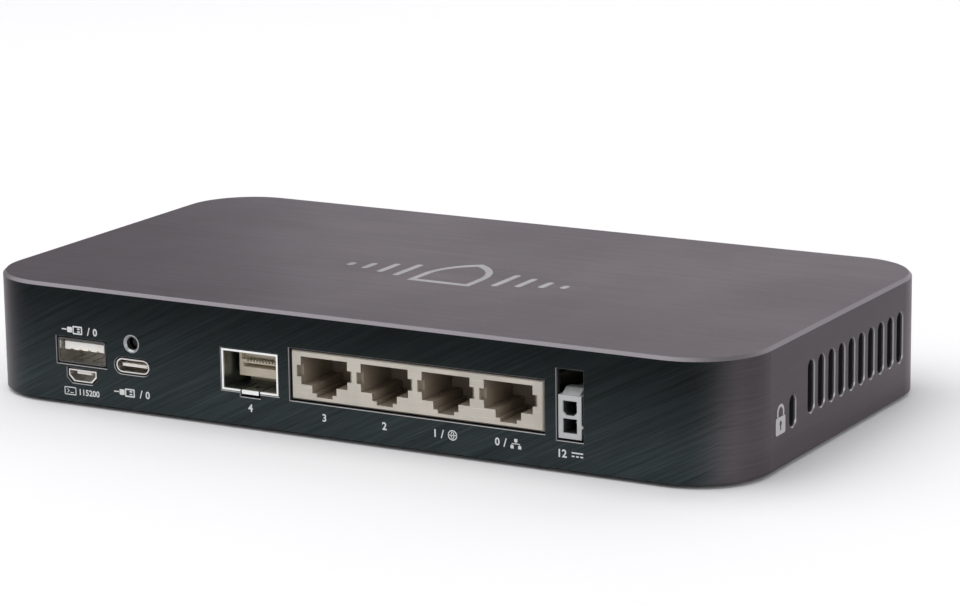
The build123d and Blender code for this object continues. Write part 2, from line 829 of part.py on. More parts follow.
# ---- twenty-way plug socket inside the cage ----
module_plug_top = cage_bottom + cage_height - cage_sheet - module_plug_roof_gap
module_plug_bottom = module_plug_top - module_plug_height
module_slot_z = module_plug_bottom + module_slot_rise
with BuildPart() as module_plug:
    with BuildSketch(port_plane(module_plug_setback)):
        with Locations((cage_x, module_plug_bottom + module_plug_height / 2)):
            Rectangle(module_plug_width, module_plug_height)
    extrude(amount=-module_plug_depth)
    # the upper part of the face stands back, behind two end posts
    with BuildSketch(port_plane(module_plug_setback)):
        with Locations((cage_x, module_plug_top)):
            Rectangle(
                module_plug_width - 2 * module_post_width,
                module_post_height,
                align=(Align.CENTER, Align.MAX),
            )
    extrude(amount=-module_plug_step, mode=Mode.SUBTRACT)
    # card slot, and a row of contact holes above it
    with BuildSketch(port_plane(module_plug_setback)):
        with Locations((cage_x, module_slot_z)):
            Rectangle(module_slot_width, module_slot_height)
        with Locations((cage_x, module_slot_z + module_slot_height / 2 + module_hole_height)):
            with GridLocations(module_hole_pitch, 0, module_hole_count, 1):
                Rectangle(module_hole_width, module_hole_height)
    extrude(amount=-module_slot_depth, mode=Mode.SUBTRACT)
    # foot that stands on the board
    with BuildSketch(Plane.XY.offset(board_top)):
        with Locations((cage_x, module_plug_y + module_plug_depth)):
            Rectangle(module_plug_width, module_foot_depth, align=(Align.CENTER, Align.MAX))
    extrude(amount=module_plug_bottom - board_top)
module_plug.part.label = "module_plug"
export_step(module_plug.part, "parts/module_plug.step")

# ---- large serial-bus socket: shell with its four sprung fingers ----
usb_a_front_y = port_y + port_setback
with BuildPart() as usb_a_shell:
    with BuildSketch(port_plane(port_setback)):
        with Locations((usb_a_x, usb_a_middle_z)):
            RectangleRounded(usb_a_width, usb_a_height, usb_a_corner)
            Rectangle(
                usb_a_width - 2 * usb_a_sheet,
                usb_a_height - 2 * usb_a_sheet,
                mode=Mode.SUBTRACT,
            )
    extrude(amount=-usb_a_depth)
    finger_y = usb_a_front_y + usb_a_finger_setback
    with BuildSketch(Plane.XY.offset(usb_a_bottom)):
        with Locations((usb_a_x, finger_y)):
            with GridLocations(usb_a_finger_spacing, 0, 2, 1):
                Rectangle(
                    usb_a_finger_width + 2 * usb_a_finger_slot,
                    usb_a_finger_length,
                    align=(Align.CENTER, Align.MIN),
                )
        with Locations((usb_a_x, finger_y + usb_a_finger_slot)):
            with GridLocations(usb_a_finger_spacing, 0, 2, 1):
                Rectangle(
                    usb_a_finger_width,
                    usb_a_finger_length,
                    align=(Align.CENTER, Align.MIN),
                    mode=Mode.SUBTRACT,
                )
    extrude(amount=usb_a_height, mode=Mode.SUBTRACT)
    # legs down to the board
    with BuildSketch(Plane.XY.offset(board_top)):
        with Locations((usb_a_x, usb_a_front_y + usb_a_depth)):
            with GridLocations(usb_a_width - usb_a_sheet, 0, 2, 1):
                Rectangle(usb_a_sheet, usb_a_block_depth, align=(Align.CENTER, Align.MAX))
    extrude(amount=usb_a_lift + usb_a_corner)
usb_a_shell.part.label = "usb_a_shell"
export_step(usb_a_shell.part, "parts/usb_a_shell.step")

# ---- large serial-bus socket: insulator block with its tongue ----
usb_a_roof = usb_a_bottom + usb_a_height - usb_a_sheet
usb_a_tongue_top = usb_a_roof - usb_a_tongue_roof_gap
usb_a_tongue_bottom = usb_a_tongue_top - usb_a_tongue_thickness
with BuildPart() as usb_a_tongue:
    with BuildSketch(port_plane(port_setback + usb_a_depth)):
        with Locations((usb_a_x, usb_a_middle_z)):
            Rectangle(
                usb_a_width - 2 * usb_a_sheet - 2 * usb_a_block_gap,
                usb_a_height - 2 * usb_a_sheet - 2 * usb_a_block_gap,
            )
    extrude(amount=usb_a_block_depth)
    with BuildSketch(port_plane(port_setback + usb_a_tongue_setback)):
        with Locations((usb_a_x, usb_a_tongue_top)):
            Rectangle(usb_a_tongue_width, usb_a_tongue_thickness, align=(Align.CENTER, Align.MAX))
    extrude(amount=-(usb_a_depth - usb_a_tongue_setback))
    # grooves in the tongue's underside hold the contacts
    with BuildSketch(port_plane(port_setback)):
        with Locations((usb_a_x, usb_a_tongue_bottom)):
            with GridLocations(usb_a_contact_pitch, 0, usb_a_contact_count, 1):
                Rectangle(
                    usb_a_contact_width,
                    usb_a_contact_thickness,
                    align=(Align.CENTER, Align.MIN),
                )
    extrude(amount=-(usb_a_tongue_setback + usb_a_contact_length), mode=Mode.SUBTRACT)
usb_a_tongue.part.label = "usb_a_tongue"
export_step(usb_a_tongue.part, "parts/usb_a_tongue.step")

# ---- large serial-bus socket: contacts under the tongue ----
with BuildPart() as usb_a_contacts:
    with BuildSketch(port_plane(port_setback + usb_a_tongue_setback + usb_a_contact_thickness)):
        with Locations((usb_a_x, usb_a_tongue_bottom + tiny)):
            with GridLocations(usb_a_contact_pitch, 0, usb_a_contact_count, 1):
                Rectangle(
                    usb_a_contact_width - 2 * tiny,
                    usb_a_contact_thickness - tiny,
                    align=(Align.CENTER, Align.MIN),
                )
    extrude(amount=-(usb_a_contact_length - usb_a_contact_thickness))
usb_a_contacts.part.label = "usb_a_contacts"
export_step(usb_a_contacts.part, "parts/usb_a_contacts.step")

# ---- small oval serial-bus socket: shell ----
with BuildPart() as usb_c_shell:
    with BuildSketch(port_plane(port_setback)):
        with Locations((usb_c_x, usb_c_z)):
            SlotOverall(usb_c_width, usb_c_height)
            SlotOverall(
                usb_c_width - 2 * usb_c_sheet,
                usb_c_height - 2 * usb_c_sheet,
                mode=Mode.SUBTRACT,
            )
    extrude(amount=-usb_c_depth)
    # legs down to the board
    with BuildSketch(Plane.XY.offset(board_top)):
        with Locations((usb_c_x, port_y + port_setback + usb_c_depth - usb_c_leg_inset)):
            with GridLocations(usb_c_width - usb_c_height - usb_c_leg_width, 0, 2, 1):
                Rectangle(usb_c_leg_width, usb_c_leg_length)
    extrude(amount=usb_c_lift + usb_c_sheet / 2)
usb_c_shell.part.label = "usb_c_shell"
export_step(usb_c_shell.part, "parts/usb_c_shell.step")

# ---- small oval serial-bus socket: insulator with its centre tongue ----
with BuildPart() as usb_c_tongue:
    with BuildSketch(port_plane(port_setback + usb_c_depth)):
        with Locations((usb_c_x, usb_c_z)):
            SlotOverall(
                usb_c_width - 2 * usb_c_sheet - 2 * usb_c_tongue_gap,
                usb_c_height - 2 * usb_c_sheet - 2 * usb_c_tongue_gap,
            )
    extrude(amount=usb_c_back)
    with BuildSketch(port_plane(port_setback + usb_c_tongue_setback)):
        with Locations((usb_c_x, usb_c_z)):
            Rectangle(usb_c_tongue_width, usb_c_tongue_thickness)
    extrude(amount=-(usb_c_depth - usb_c_tongue_setback))
usb_c_tongue.part.label = "usb_c_tongue"
export_step(usb_c_tongue.part, "parts/usb_c_tongue.step")

# ---- small oval serial-bus socket: contact pads on both faces of the tongue ----
usb_c_pad_level = usb_c_tongue_thickness / 2 + usb_c_pad_thickness / 2
with BuildPart() as usb_c_pads:
    with BuildSketch(port_plane(port_setback + usb_c_tongue_setback + usb_c_pad_inset)):
        with Locations((usb_c_x, usb_c_z)):
            with GridLocations(usb_c_pad_pitch, 2 * usb_c_pad_level, usb_c_pad_count, 2):
                Rectangle(usb_c_pad_width, usb_c_pad_thickness)
    extrude(amount=-usb_c_pad_length)
usb_c_pads.part.label = "usb_c_pads"
export_step(usb_c_pads.part, "parts/usb_c_pads.step")

# ---- console socket: shell, sunk into a notch in the board ----
with BuildPart() as console_shell:
    with BuildSketch(port_plane(port_setback)):
        with BuildLine():
            Polyline(*console_outline(), close=True)
        make_face()
        with BuildLine():
            Polyline(*console_outline(-console_sheet), close=True)
        make_face(mode=Mode.SUBTRACT)
    extrude(amount=-console_depth)
    with BuildSketch(Plane.XY.offset(board_top)):
        with Locations((console_x, port_y + port_setback + console_depth)):
            Rectangle(
                console_width + 2 * console_ear_width,
                console_ear_length,
                align=(Align.CENTER, Align.MAX),
            )
    extrude(amount=console_rise)
console_shell.part.label = "console_shell"
export_step(console_shell.part, "parts/console_shell.step")

# ---- console socket: insulator with its tongue near the top ----
console_tongue_top = console_top - console_sheet - console_tongue_roof_gap
with BuildPart() as console_tongue:
    with BuildSketch(port_plane(port_setback + console_depth)):
        with BuildLine():
            Polyline(*console_outline(-console_sheet - console_tongue_gap), close=True)
        make_face()
    extrude(amount=console_back)
    with BuildSketch(port_plane(port_setback + console_tongue_setback)):
        with Locations((console_x, console_tongue_top)):
            Rectangle(
                console_tongue_width,
                console_tongue_thickness,
                align=(Align.CENTER, Align.MAX),
            )
    extrude(amount=-(console_depth - console_tongue_setback))
console_tongue.part.label = "console_tongue"
export_step(console_tongue.part, "parts/console_tongue.step")

# ---- reset button: bevelled ring pressed into the port wall ----
with BuildPart() as reset_ring:
    with BuildSketch(port_plane(0)):
        with Locations((reset_x, reset_z)):
            Circle(ring_outer_radius)
            Circle(ring_inner_radius, mode=Mode.SUBTRACT)
    extrude(amount=-wall)
    front_circles = reset_ring.edges().group_by(Axis.Y)[0].sort_by(SortBy.RADIUS)
    chamfer(front_circles[0], length=ring_bevel)
reset_ring.part.label = "reset_ring"
export_step(reset_ring.part, "parts/reset_ring.step")

# ---- reset button: push switch standing on the board ----
switch_front_y = port_y + port_setback + usb_c_depth + switch_gap
switch_bore_depth = reset_button_overlap + reset_travel + reset_room
with BuildPart() as reset_switch:
    with BuildSketch(Plane.XY.offset(board_top)):
        with Locations((reset_x, switch_front_y)):
            Rectangle(switch_width, switch_depth, align=(Align.CENTER, Align.MIN))
    extrude(amount=reset_lift + switch_above)
    with BuildSketch(Plane.XZ.offset(-switch_front_y)):
        with Locations((reset_x, reset_z)):
            Circle(reset_button_radius + reset_button_fit)
    extrude(amount=-switch_bore_depth, mode=Mode.SUBTRACT)
reset_switch.part.label = "reset_switch"
export_step(reset_switch.part, "parts/reset_switch.step")

# ---- reset button: the plunger that a pin pushes in ----
with BuildPart() as reset_button:
    with BuildSketch(port_plane(reset_button_setback)):
        with Locations((reset_x, reset_z)):
            Circle(reset_button_radius)
    extrude(amount=-(switch_front_y + reset_button_overlap - port_y - reset_button_setback))
reset_button.part.label = "reset_button"
export_step(reset_button.part, "parts/reset_button.step")

# ---- power header: moulded housing with two cavities and a latch ramp ----
header_right_x = header_x + header_width / 2
header_key_z = header_bottom + header_key_level
header_ramp_y = port_y + header_ramp_setback
upper_cavity_low_z = header_cavity_z + (header_pitch - header_cavity_height) / 2
upper_cavity_half = header_cavity_width / 2
with BuildPart() as power_header:
    with BuildSketch(port_plane(header_setback)):
        with Locations((header_x, header_bottom)):
            Rectangle(header_width, header_height, align=(Align.CENTER, Align.MIN))
    extrude(amount=-(header_depth - header_seat_depth))
    with BuildSketch(port_plane(header_setback + header_depth - header_seat_depth)):
        with Locations((header_x, board_top)):
            Rectangle(header_width, header_top - board_top, align=(Align.CENTER, Align.MIN))
    extrude(amount=-header_seat_depth)
    # square lower cavity, and an upper one with its lower corners cut away
    with BuildSketch(port_plane(header_setback)):
        with Locations((header_x, header_cavity_z - header_pitch / 2)):
            Rectangle(header_cavity_width, header_cavity_height)
        with BuildLine():
            Polyline(
                (header_x - upper_cavity_half + header_cavity_corner, upper_cavity_low_z),
                (header_x + upper_cavity_half - header_cavity_corner, upper_cavity_low_z),
                (header_x + upper_cavity_half, upper_cavity_low_z + header_cavity_corner),
                (header_x + upper_cavity_half, upper_cavity_low_z + header_cavity_height),
                (header_x - upper_cavity_half, upper_cavity_low_z + header_cavity_height),
                (header_x - upper_cavity_half, upper_cavity_low_z + header_cavity_corner),
                close=True,
            )
        make_face()
    extrude(amount=-header_cavity_depth, mode=Mode.SUBTRACT)
    # latch ramp on top, rising away from the port wall
    with BuildSketch(Plane.YZ.offset(header_x - header_ramp_width / 2)):
        with BuildLine():
            Polyline(
                (header_ramp_y, header_top),
                (header_ramp_y + header_ramp_length, header_top),
                (header_ramp_y + header_ramp_length, header_top + header_ramp_height),
                (header_ramp_y + header_ramp_length / 2, header_top + header_ramp_height),
                close=True,
            )
        make_face()
    extrude(amount=header_ramp_width)
    # pointed key rib on the right side
    with BuildSketch(port_plane(header_setback)):
        with BuildLine():
            Polyline(
                (header_right_x, header_key_z - header_key_height / 2),
                (header_right_x + header_key_reach, header_key_z),
                (header_right_x, header_key_z + header_key_height / 2),
                close=True,
            )
        make_face()
    extrude(amount=-header_key_length)
power_header.part.label = "power_header"
export_step(power_header.part, "parts/power_header.step")

# ---- power header: a round pin in each cavity ----
header_back_y = port_y + header_setback + header_cavity_depth
with BuildPart() as power_pins:
    with BuildSketch(Plane.XZ.offset(-header_back_y)):
        with Locations((header_x, header_cavity_z)):
            with GridLocations(0, header_pitch, 1, 2):
                Circle(header_pin_radius)
    extrude(amount=header_pin_length)
    fillet(power_pins.edges().group_by(Axis.Y)[0], radius=header_pin_radius / 2)
power_pins.part.label = "power_pins"
export_step(power_pins.part, "parts/power_pins.step")

# ---- processor, under its thermal pad and heat sink ----
with BuildPart() as processor:
    with BuildSketch(Plane.XY.offset(board_top)):
        with Locations((jack_middle_x, sink_y)):
            Rectangle(processor_size, processor_size)
    extrude(amount=processor_height)
processor.part.label = "processor"
export_step(processor.part, "parts/processor.step")

with BuildPart() as thermal_pad:
    with BuildSketch(Plane.XY.offset(board_top + processor_height)):
        with Locations((jack_middle_x, sink_y)):
            Rectangle(pad_size, pad_size)
    extrude(amount=pad_thickness)
thermal_pad.part.label = "thermal_pad"
export_step(thermal_pad.part, "parts/thermal_pad.step")

sink_top = roof_under - sink_roof_gap
sink_fin_pitch = (sink_length - sink_fin_thickness) / (sink_fin_count - 1)
sink_screw_x = sink_width - 2 * sink_screw_inset
sink_screw_y = sink_length - 2 * sink_screw_inset
with BuildPart() as heat_sink:
    with BuildSketch(Plane.XY.offset(sink_bottom)):
        with Locations((jack_middle_x, sink_y)):
            Rectangle(sink_width, sink_length)
    extrude(amount=sink_base)
    with BuildSketch(Plane.XY.offset(sink_bottom + sink_base)):
        with Locations((jack_middle_x, sink_y)):
            with GridLocations(0, sink_fin_pitch, 1, sink_fin_count):
                Rectangle(sink_width, sink_fin_thickness)
            with GridLocations(sink_screw_x, sink_screw_y, 2, 2):
                Rectangle(2 * sink_screw_inset, 2 * sink_screw_inset, mode=Mode.SUBTRACT)
    extrude(amount=sink_top - sink_bottom - sink_base)
    with BuildSketch(Plane.XY.offset(sink_bottom)):
        with Locations((jack_middle_x, sink_y)):
            with GridLocations(sink_screw_x, sink_screw_y, 2, 2):
                Circle(sink_screw_radius + sink_screw_gap)
    extrude(amount=sink_base, mode=Mode.SUBTRACT)
heat_sink.part.label = "heat_sink"
export_step(heat_sink.part, "parts/heat_sink.step")

with BuildPart() as sink_screws:
    with BuildSketch(Plane.XY.offset(board_bottom)):
        with Locations((jack_middle_x, sink_y)):
            with GridLocations(sink_screw_x, sink_screw_y, 2, 2):
                Circle(sink_screw_radius)
    extrude(amount=sink_bottom + sink_base - board_bottom)
    with BuildSketch(Plane.XY.offset(sink_bottom + sink_base)):
        with Locations((jack_middle_x, sink_y)):
            with GridLocations(sink_screw_x, sink_screw_y, 2, 2):
                Circle(sink_screw_head_radius)
    extrude(amount=sink_screw_head_height)
sink_screws.part.label = "sink_screws"
export_step(sink_screws.part, "parts/sink_screws.step")

# ---- memory chips, under the heat sink's ends ----
with BuildPart() as memory_chips:
    with BuildSketch(Plane.XY.offset(board_top)):
        with Locations((jack_middle_x, sink_y)):
            with GridLocations(processor_size + memory_spacing, memory_spacing, 2, 2):
                Rectangle(memory_width, memory_length)
    extrude(amount=memory_height)
memory_chips.part.label = "memory_chips"
export_step(memory_chips.part, "parts/memory_chips.step")

# ---- network switch chip and storage chip ----
with BuildPart() as switch_chip:
    with BuildSketch(Plane.XY.offset(board_top)):
        with Locations((switch_chip_x, port_y + switch_chip_setback)):
            Rectangle(switch_chip_size, switch_chip_size)
    extrude(amount=switch_chip_height)
switch_chip.part.label = "switch_chip"
export_step(switch_chip.part, "parts/switch_chip.step")

with BuildPart() as storage_chip:
    with BuildSketch(Plane.XY.offset(board_top)):
        with Locations((switch_chip_x, port_y + switch_chip_setback + storage_from_switch)):
            Rectangle(storage_width, storage_length)
    extrude(amount=storage_height)
storage_chip.part.label = "storage_chip"
export_step(storage_chip.part, "parts/storage_chip.step")

# ---- isolating transformers, one behind each network socket ----
transformer_y = port_y + port_setback + jack_depth + transformer_jack_gap + transformer_length / 2
with BuildPart() as line_transformers:
    with BuildSketch(Plane.XY.offset(board_top)):
        with Locations(*[(middle_x, transformer_y) for middle_x in socket_xs]):
            Rectangle(transformer_width, transformer_length)
    extrude(amount=transformer_height)
line_transformers.part.label = "line_transformers"
export_step(line_transformers.part, "parts/line_transformers.step")

# ---- power inductors and capacitors ----
inductor_x = jack_middle_x + sink_width / 2 + inductor_sink_gap
inductor_middle_y = port_y + inductor_setback + (inductor_count - 1) * inductor_pitch / 2
with BuildPart() as power_inductors:
    with BuildSketch(Plane.XY.offset(board_top)):
        with Locations((inductor_x, inductor_middle_y)):
            with GridLocations(0, inductor_pitch, 1, inductor_count):
                RectangleRounded(inductor_size, inductor_size, inductor_round)
    extrude(amount=inductor_height)
power_inductors.part.label = "power_inductors"
export_step(power_inductors.part, "parts/power_inductors.step")

capacitor_middle_x = header_x + (capacitor_count - 1) * capacitor_pitch / 2
with BuildPart() as power_capacitors:
    with BuildSketch(Plane.XY.offset(board_top)):
        with Locations((capacitor_middle_x, port_y + capacitor_setback)):
            with GridLocations(capacitor_pitch, 0, capacitor_count, 1):
                Circle(capacitor_radius)
    extrude(amount=capacitor_height)
    fillet(power_capacitors.edges().group_by(Axis.Z)[-1], radius=edge_break)
power_capacitors.part.label = "power_capacitors"
export_step(power_capacitors.part, "parts/power_capacitors.step")

# ---- clock cell in its holder ----
cell_x = -(side_x - cell_side_inset)
cell_y = port_y + cell_setback
cell_floor = board_top + cell_holder_floor
with BuildPart() as cell_holder:
    with BuildSketch(Plane.XY.offset(board_top)):
        with Locations((cell_x, cell_y)):
            Circle(cell_radius + cell_gap + cell_holder_wall)
    extrude(amount=cell_holder_floor + cell_thickness)
    with BuildSketch(Plane.XY.offset(cell_floor)):
        with Locations((cell_x, cell_y)):
            Circle(cell_radius + cell_gap)
        with Locations((cell_x, cell_y + cell_radius)):
            Rectangle(cell_holder_opening, 2 * cell_holder_wall + cell_radius)
    extrude(amount=cell_thickness, mode=Mode.SUBTRACT)
cell_holder.part.label = "cell_holder"
export_step(cell_holder.part, "parts/cell_holder.step")

with BuildPart() as clock_cell:
    with BuildSketch(Plane.XY.offset(cell_floor)):
        with Locations((cell_x, cell_y)):
            Circle(cell_radius)
    extrude(amount=cell_thickness)
    fillet(clock_cell.edges().group_by(Axis.Z)[0], radius=edge_break)
clock_cell.part.label = "clock_cell"
export_step(clock_cell.part, "parts/clock_cell.step")

# ---- light guide: a moulded bar with a pin through the far wall for each status light ----
light_web_back_y = inner_far_y - light_wall_gap
light_web_y = light_web_back_y - light_web_thickness / 2
light_chip_top = board_top + light_chip_height
with BuildPart() as light_guide:
    with BuildSketch(Plane.XZ.offset(-light_web_back_y)):
        with Locations((light_middle_x, light_z)):
            Rectangle((light_count - 1) * light_pitch + 2 * light_leg_size, light_web_height)
    extrude(amount=light_web_thickness)
    with BuildSketch(Plane.XZ.offset(-light_web_back_y)):
        with Locations(*[(x, light_z) for x in light_xs]):
            Circle(light_radius)
    extrude(amount=-(far_y - light_web_back_y))
    with BuildSketch(Plane.XY.offset(light_chip_top + light_leg_gap)):
        with Locations(*[(x, light_web_y) for x in light_xs]):
            Rectangle(light_leg_size, light_web_thickness)
    extrude(amount=light_z - light_chip_top - light_leg_gap)
light_guide.part.label = "light_guide"
export_step(light_guide.part, "parts/light_guide.step")

with BuildPart() as status_lights:
    with BuildSketch(Plane.XY.offset(board_top)):
        with Locations(*[(x, light_web_y) for x in light_xs]):
            Rectangle(light_chip_width, light_chip_length)
    extrude(amount=light_chip_height)
status_lights.part.label = "status_lights"
export_step(status_lights.part, "parts/status_lights.step")
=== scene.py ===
import math

import bpy
import numpy as np
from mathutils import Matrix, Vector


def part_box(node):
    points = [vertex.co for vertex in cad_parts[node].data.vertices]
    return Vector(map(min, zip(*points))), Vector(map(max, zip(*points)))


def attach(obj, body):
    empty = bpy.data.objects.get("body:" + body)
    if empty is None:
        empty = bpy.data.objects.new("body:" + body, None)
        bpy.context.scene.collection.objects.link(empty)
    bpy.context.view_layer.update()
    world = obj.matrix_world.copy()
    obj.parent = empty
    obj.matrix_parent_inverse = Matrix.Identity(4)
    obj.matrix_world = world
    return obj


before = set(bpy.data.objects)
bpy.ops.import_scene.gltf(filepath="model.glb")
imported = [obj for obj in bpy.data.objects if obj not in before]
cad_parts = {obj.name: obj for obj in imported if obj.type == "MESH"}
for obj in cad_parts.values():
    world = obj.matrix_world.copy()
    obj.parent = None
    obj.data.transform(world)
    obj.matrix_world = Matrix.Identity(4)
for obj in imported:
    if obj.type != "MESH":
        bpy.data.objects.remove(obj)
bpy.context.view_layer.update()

MM = 0.001
SENSOR_WIDTH = 36.0
SOCKET_PITCH = 15.24 * MM
PANEL_TAB = "Appliance"
STREAKS_GROUP = "Brushed Streaks"
HANDLING_GROUP = "Handling Marks"
GRAIN_GROUP = "Moulded Grain"

bl_info = {
    "name": "Firewall Appliance Finishes",
    "version": (1, 0, 0),
    "blender": (4, 5, 0),
    "location": "3D View > Sidebar > Appliance",
    "description": "Finishes, printed marks and studio for a small fanless firewall appliance",
    "category": "Object",
}

CASE_LOW, CASE_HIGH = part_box("top_cover")


# ---------------------------------------------------------------- user settings


def colour_setting(name, description, *parts):
    return bpy.props.FloatVectorProperty(
        name=name, description=description, subtype="COLOR", default=parts, min=0, max=1
    )


def length_setting(name, description, length):
    return bpy.props.FloatProperty(name=name, description=description, unit="LENGTH", default=length)


def place_setting(name, description, *lengths):
    return bpy.props.FloatVectorProperty(
        name=name, description=description, size=2, unit="LENGTH", default=lengths
    )


def angle_setting(name, description, degrees):
    return bpy.props.FloatProperty(
        name=name, description=description, unit="ROTATION", default=math.radians(degrees)
    )


def number_setting(name, description, number):
    return bpy.props.FloatProperty(name=name, description=description, default=number)


class CaseSettings(bpy.types.PropertyGroup):
    """Colours and grain of the brushed metal case."""

    # roof and walls are one brushed metal: the difference between these two tones is painted shade, set
    # against the lights
    roof_colour: colour_setting("Roof", "Brushed roof", 0.0645, 0.0545, 0.0615)
    wall_colour: colour_setting("Walls", "Brushed side walls", 0.087, 0.077, 0.083)
    # the port wall is the same brushed metal as the other walls; its near-black colour is a painted dark
    # reflection
    port_painted_reflection_colour: colour_setting("Port wall", "Black port wall", 0.0205, 0.0265, 0.0275)
    rim_colour: colour_setting("Rim", "Bevel around the roof", 0.172, 0.160, 0.170)
    cut_colour: colour_setting("Cut edges", "Bare metal of cut edges", 0.27, 0.265, 0.27)
    inside_colour: colour_setting("Inside", "Unlit inner walls", 0.006, 0.006, 0.007)
    corner_radius: length_setting("Corner radius", "Radius of the case corners in plan", 17.0 * MM)
    rim_width: length_setting("Rim width", "Width of the bevel around the roof", 0.7 * MM)
    streak_length: length_setting("Streak length", "Length of a brush streak", 22 * MM)
    streak_width: length_setting("Streak width", "Width of a brush streak", 0.34 * MM)
    port_streak_angle: angle_setting("Port streak angle", "Slope of the port wall's streaks", 27)


class MarkSettings(bpy.types.PropertyGroup):
    """Sizes and colour of the printed marks."""

    ink_colour: colour_setting("Ink", "White printing ink", 0.62, 0.63, 0.63)
    lock_colour: colour_setting("Padlock ink", "Grey ink of the padlock mark", 0.40, 0.39, 0.39)
    film: length_setting("Film", "How far the ink stands on the surface", 0.01 * MM)
    number_height: length_setting("Number height", "Height of the port numbers", 1.75 * MM)
    rate_height: length_setting("Rate height", "Height of the console port's data rate", 1.45 * MM)
    sign_height: length_setting("Sign height", "Height of the slashes and of the console sign", 1.9 * MM)
    row_drop: length_setting("Row drop", "From the network sockets down to their marks", 3.25 * MM)
    emblem_height: length_setting("Emblem height", "Height of the shield on the roof", 16 * MM)
    emblem_place: place_setting("Emblem place", "Middle of the shield on the roof", 3.9 * MM, -6.1 * MM)
    lock_height: length_setting("Padlock height", "Height of the padlock mark", 6.6 * MM)
    lock_offset: place_setting("Padlock offset", "From the lock slot to its mark", -6.2 * MM, -0.3 * MM)


class StageSettings(bpy.types.PropertyGroup):
    """Camera and studio light."""

    lens: number_setting("Lens", "Focal length in millimetres on a 36 mm sensor", 134.46)
    azimuth: angle_setting("Azimuth", "Turn of the camera to the right of the port wall", 29.482)
    elevation: angle_setting("Elevation", "Rise of the camera", 13.173)
    roll: angle_setting("Roll", "Turn of the camera about its view", -0.774)
    distance: length_setting("Distance", "Camera to the case along the view", 826.44 * MM)
    offset: place_setting("Offset", "Camera right and up from the case's middle", 5.753 * MM, 18.168 * MM)
    floor_colour: colour_setting("Floor", "Plain pale floor", 0.80, 0.80, 0.81)
    world_colour: colour_setting("Room", "Soft light of the room", 0.90, 0.89, 0.90)
    world_strength: number_setting("Room strength", "Strength of the room light", 0.62)
    key_power: number_setting("Key power", "Soft overhead key light in watts", 14.0)
    fill_power: number_setting("Fill power", "Soft right-hand fill light in watts", 4.0)
    back_power: number_setting("Back power", "Soft light behind the case in watts", 5.0)
    sheen_power: number_setting("Sheen power", "Low light for the roof's sheen in watts", 0.32)


# ---------------------------------------------------------------- node trees


class Graph:
    """A node tree with short calls for the nodes that the finishes use."""

    def __init__(self, tree):
        self.tree = tree

    def node(self, kind, **settings):
        made = self.tree.nodes.new(kind)
        for name, value in settings.items():
            setattr(made, name, value)
        return made

    def feed(self, socket, value):
        """Links a socket to this input, or writes a plain value into it."""
        if isinstance(value, bpy.types.NodeSocket):
            self.tree.links.new(value, socket)
        else:
            socket.default_value = value

    def math(self, operation, *values, clamp=False):
        made = self.node("ShaderNodeMath", operation=operation, use_clamp=clamp)
        for socket, value in zip(made.inputs, values):
            self.feed(socket, value)
        return made.outputs[0]

    def vector(self, operation, *values):
        made = self.node("ShaderNodeVectorMath", operation=operation)
        for socket, value in zip(made.inputs, values):
            self.feed(socket, value)
        return made.outputs["Value" if operation == "LENGTH" else "Vector"]

    def split(self, vector):
        made = self.node("ShaderNodeSeparateXYZ")
        self.feed(made.inputs[0], vector)
        return tuple(made.outputs)

    def join(self, x, y, z):
        made = self.node("ShaderNodeCombineXYZ")
        for socket, value in zip(made.inputs, (x, y, z)):
            self.feed(socket, value)
        return made.outputs[0]

    def ramp(self, value, low, high, start=0.0, end=1.0):
        """start below low, end above high, and a smooth step between."""
        made = self.node("ShaderNodeMapRange", interpolation_type="SMOOTHSTEP")
        for name, entry in (
            ("Value", value), ("From Min", low), ("From Max", high), ("To Min", start), ("To Max", end)
        ):
            self.feed(made.inputs[name], entry)
        return made.outputs[0]

    # a Mix node keeps the sockets of all its data types side by side, so they are taken by their places

    def mix(self, factor, first, second):
        """A colour between first and second."""
        made = self.node("ShaderNodeMix", data_type="RGBA")
        self.feed(made.inputs["Factor"], factor)
        for index, colour in ((6, first), (7, second)):
            self.feed(made.inputs[index], (*colour, 1.0) if isinstance(colour, tuple) else colour)
        return made.outputs[2]

    def choose(self, factor, first, second):
        """A vector between first and second."""
        made = self.node("ShaderNodeMix", data_type="VECTOR")
        self.feed(made.inputs["Factor"], factor)
        self.feed(made.inputs[4], first)
        self.feed(made.inputs[5], second)
        return made.outputs[1]

    def between(self, factor, first, second):
        """A number between first and second."""
        made = self.node("ShaderNodeMix", data_type="FLOAT")
        for index, value in ((0, factor), (2, first), (3, second)):
            self.feed(made.inputs[index], value)
        return made.outputs[0]

    def noise(self, vector, scale, detail=2.0, roughness=0.5):
        made = self.node("ShaderNodeTexNoise")
        inputs = {"Vector": vector, "Scale": scale, "Detail": detail, "Roughness": roughness}
        for name, value in inputs.items():
            self.feed(made.inputs[name], value)
        return made.outputs[0]

    def tint(self, colour, amount):
        """The colour made lighter or darker by a factor."""
        made = self.node("ShaderNodeVectorMath", operation="SCALE")
        self.feed(made.inputs[0], colour)
        self.feed(made.inputs["Scale"], amount)
        return made.outputs[0]

    def use(self, group, **values):
        """Places a node group with its own values, and gives its outputs by name."""
        made = self.node("ShaderNodeGroup", node_tree=group)
        for name, value in values.items():
            self.feed(made.inputs[name.title()], value)
        return made.outputs

    def bump(self, height, strength, distance):
        made = self.node("ShaderNodeBump")
        for name, value in (("Height", height), ("Strength", strength), ("Distance", distance)):
            self.feed(made.inputs[name], value)
        return made.outputs[0]


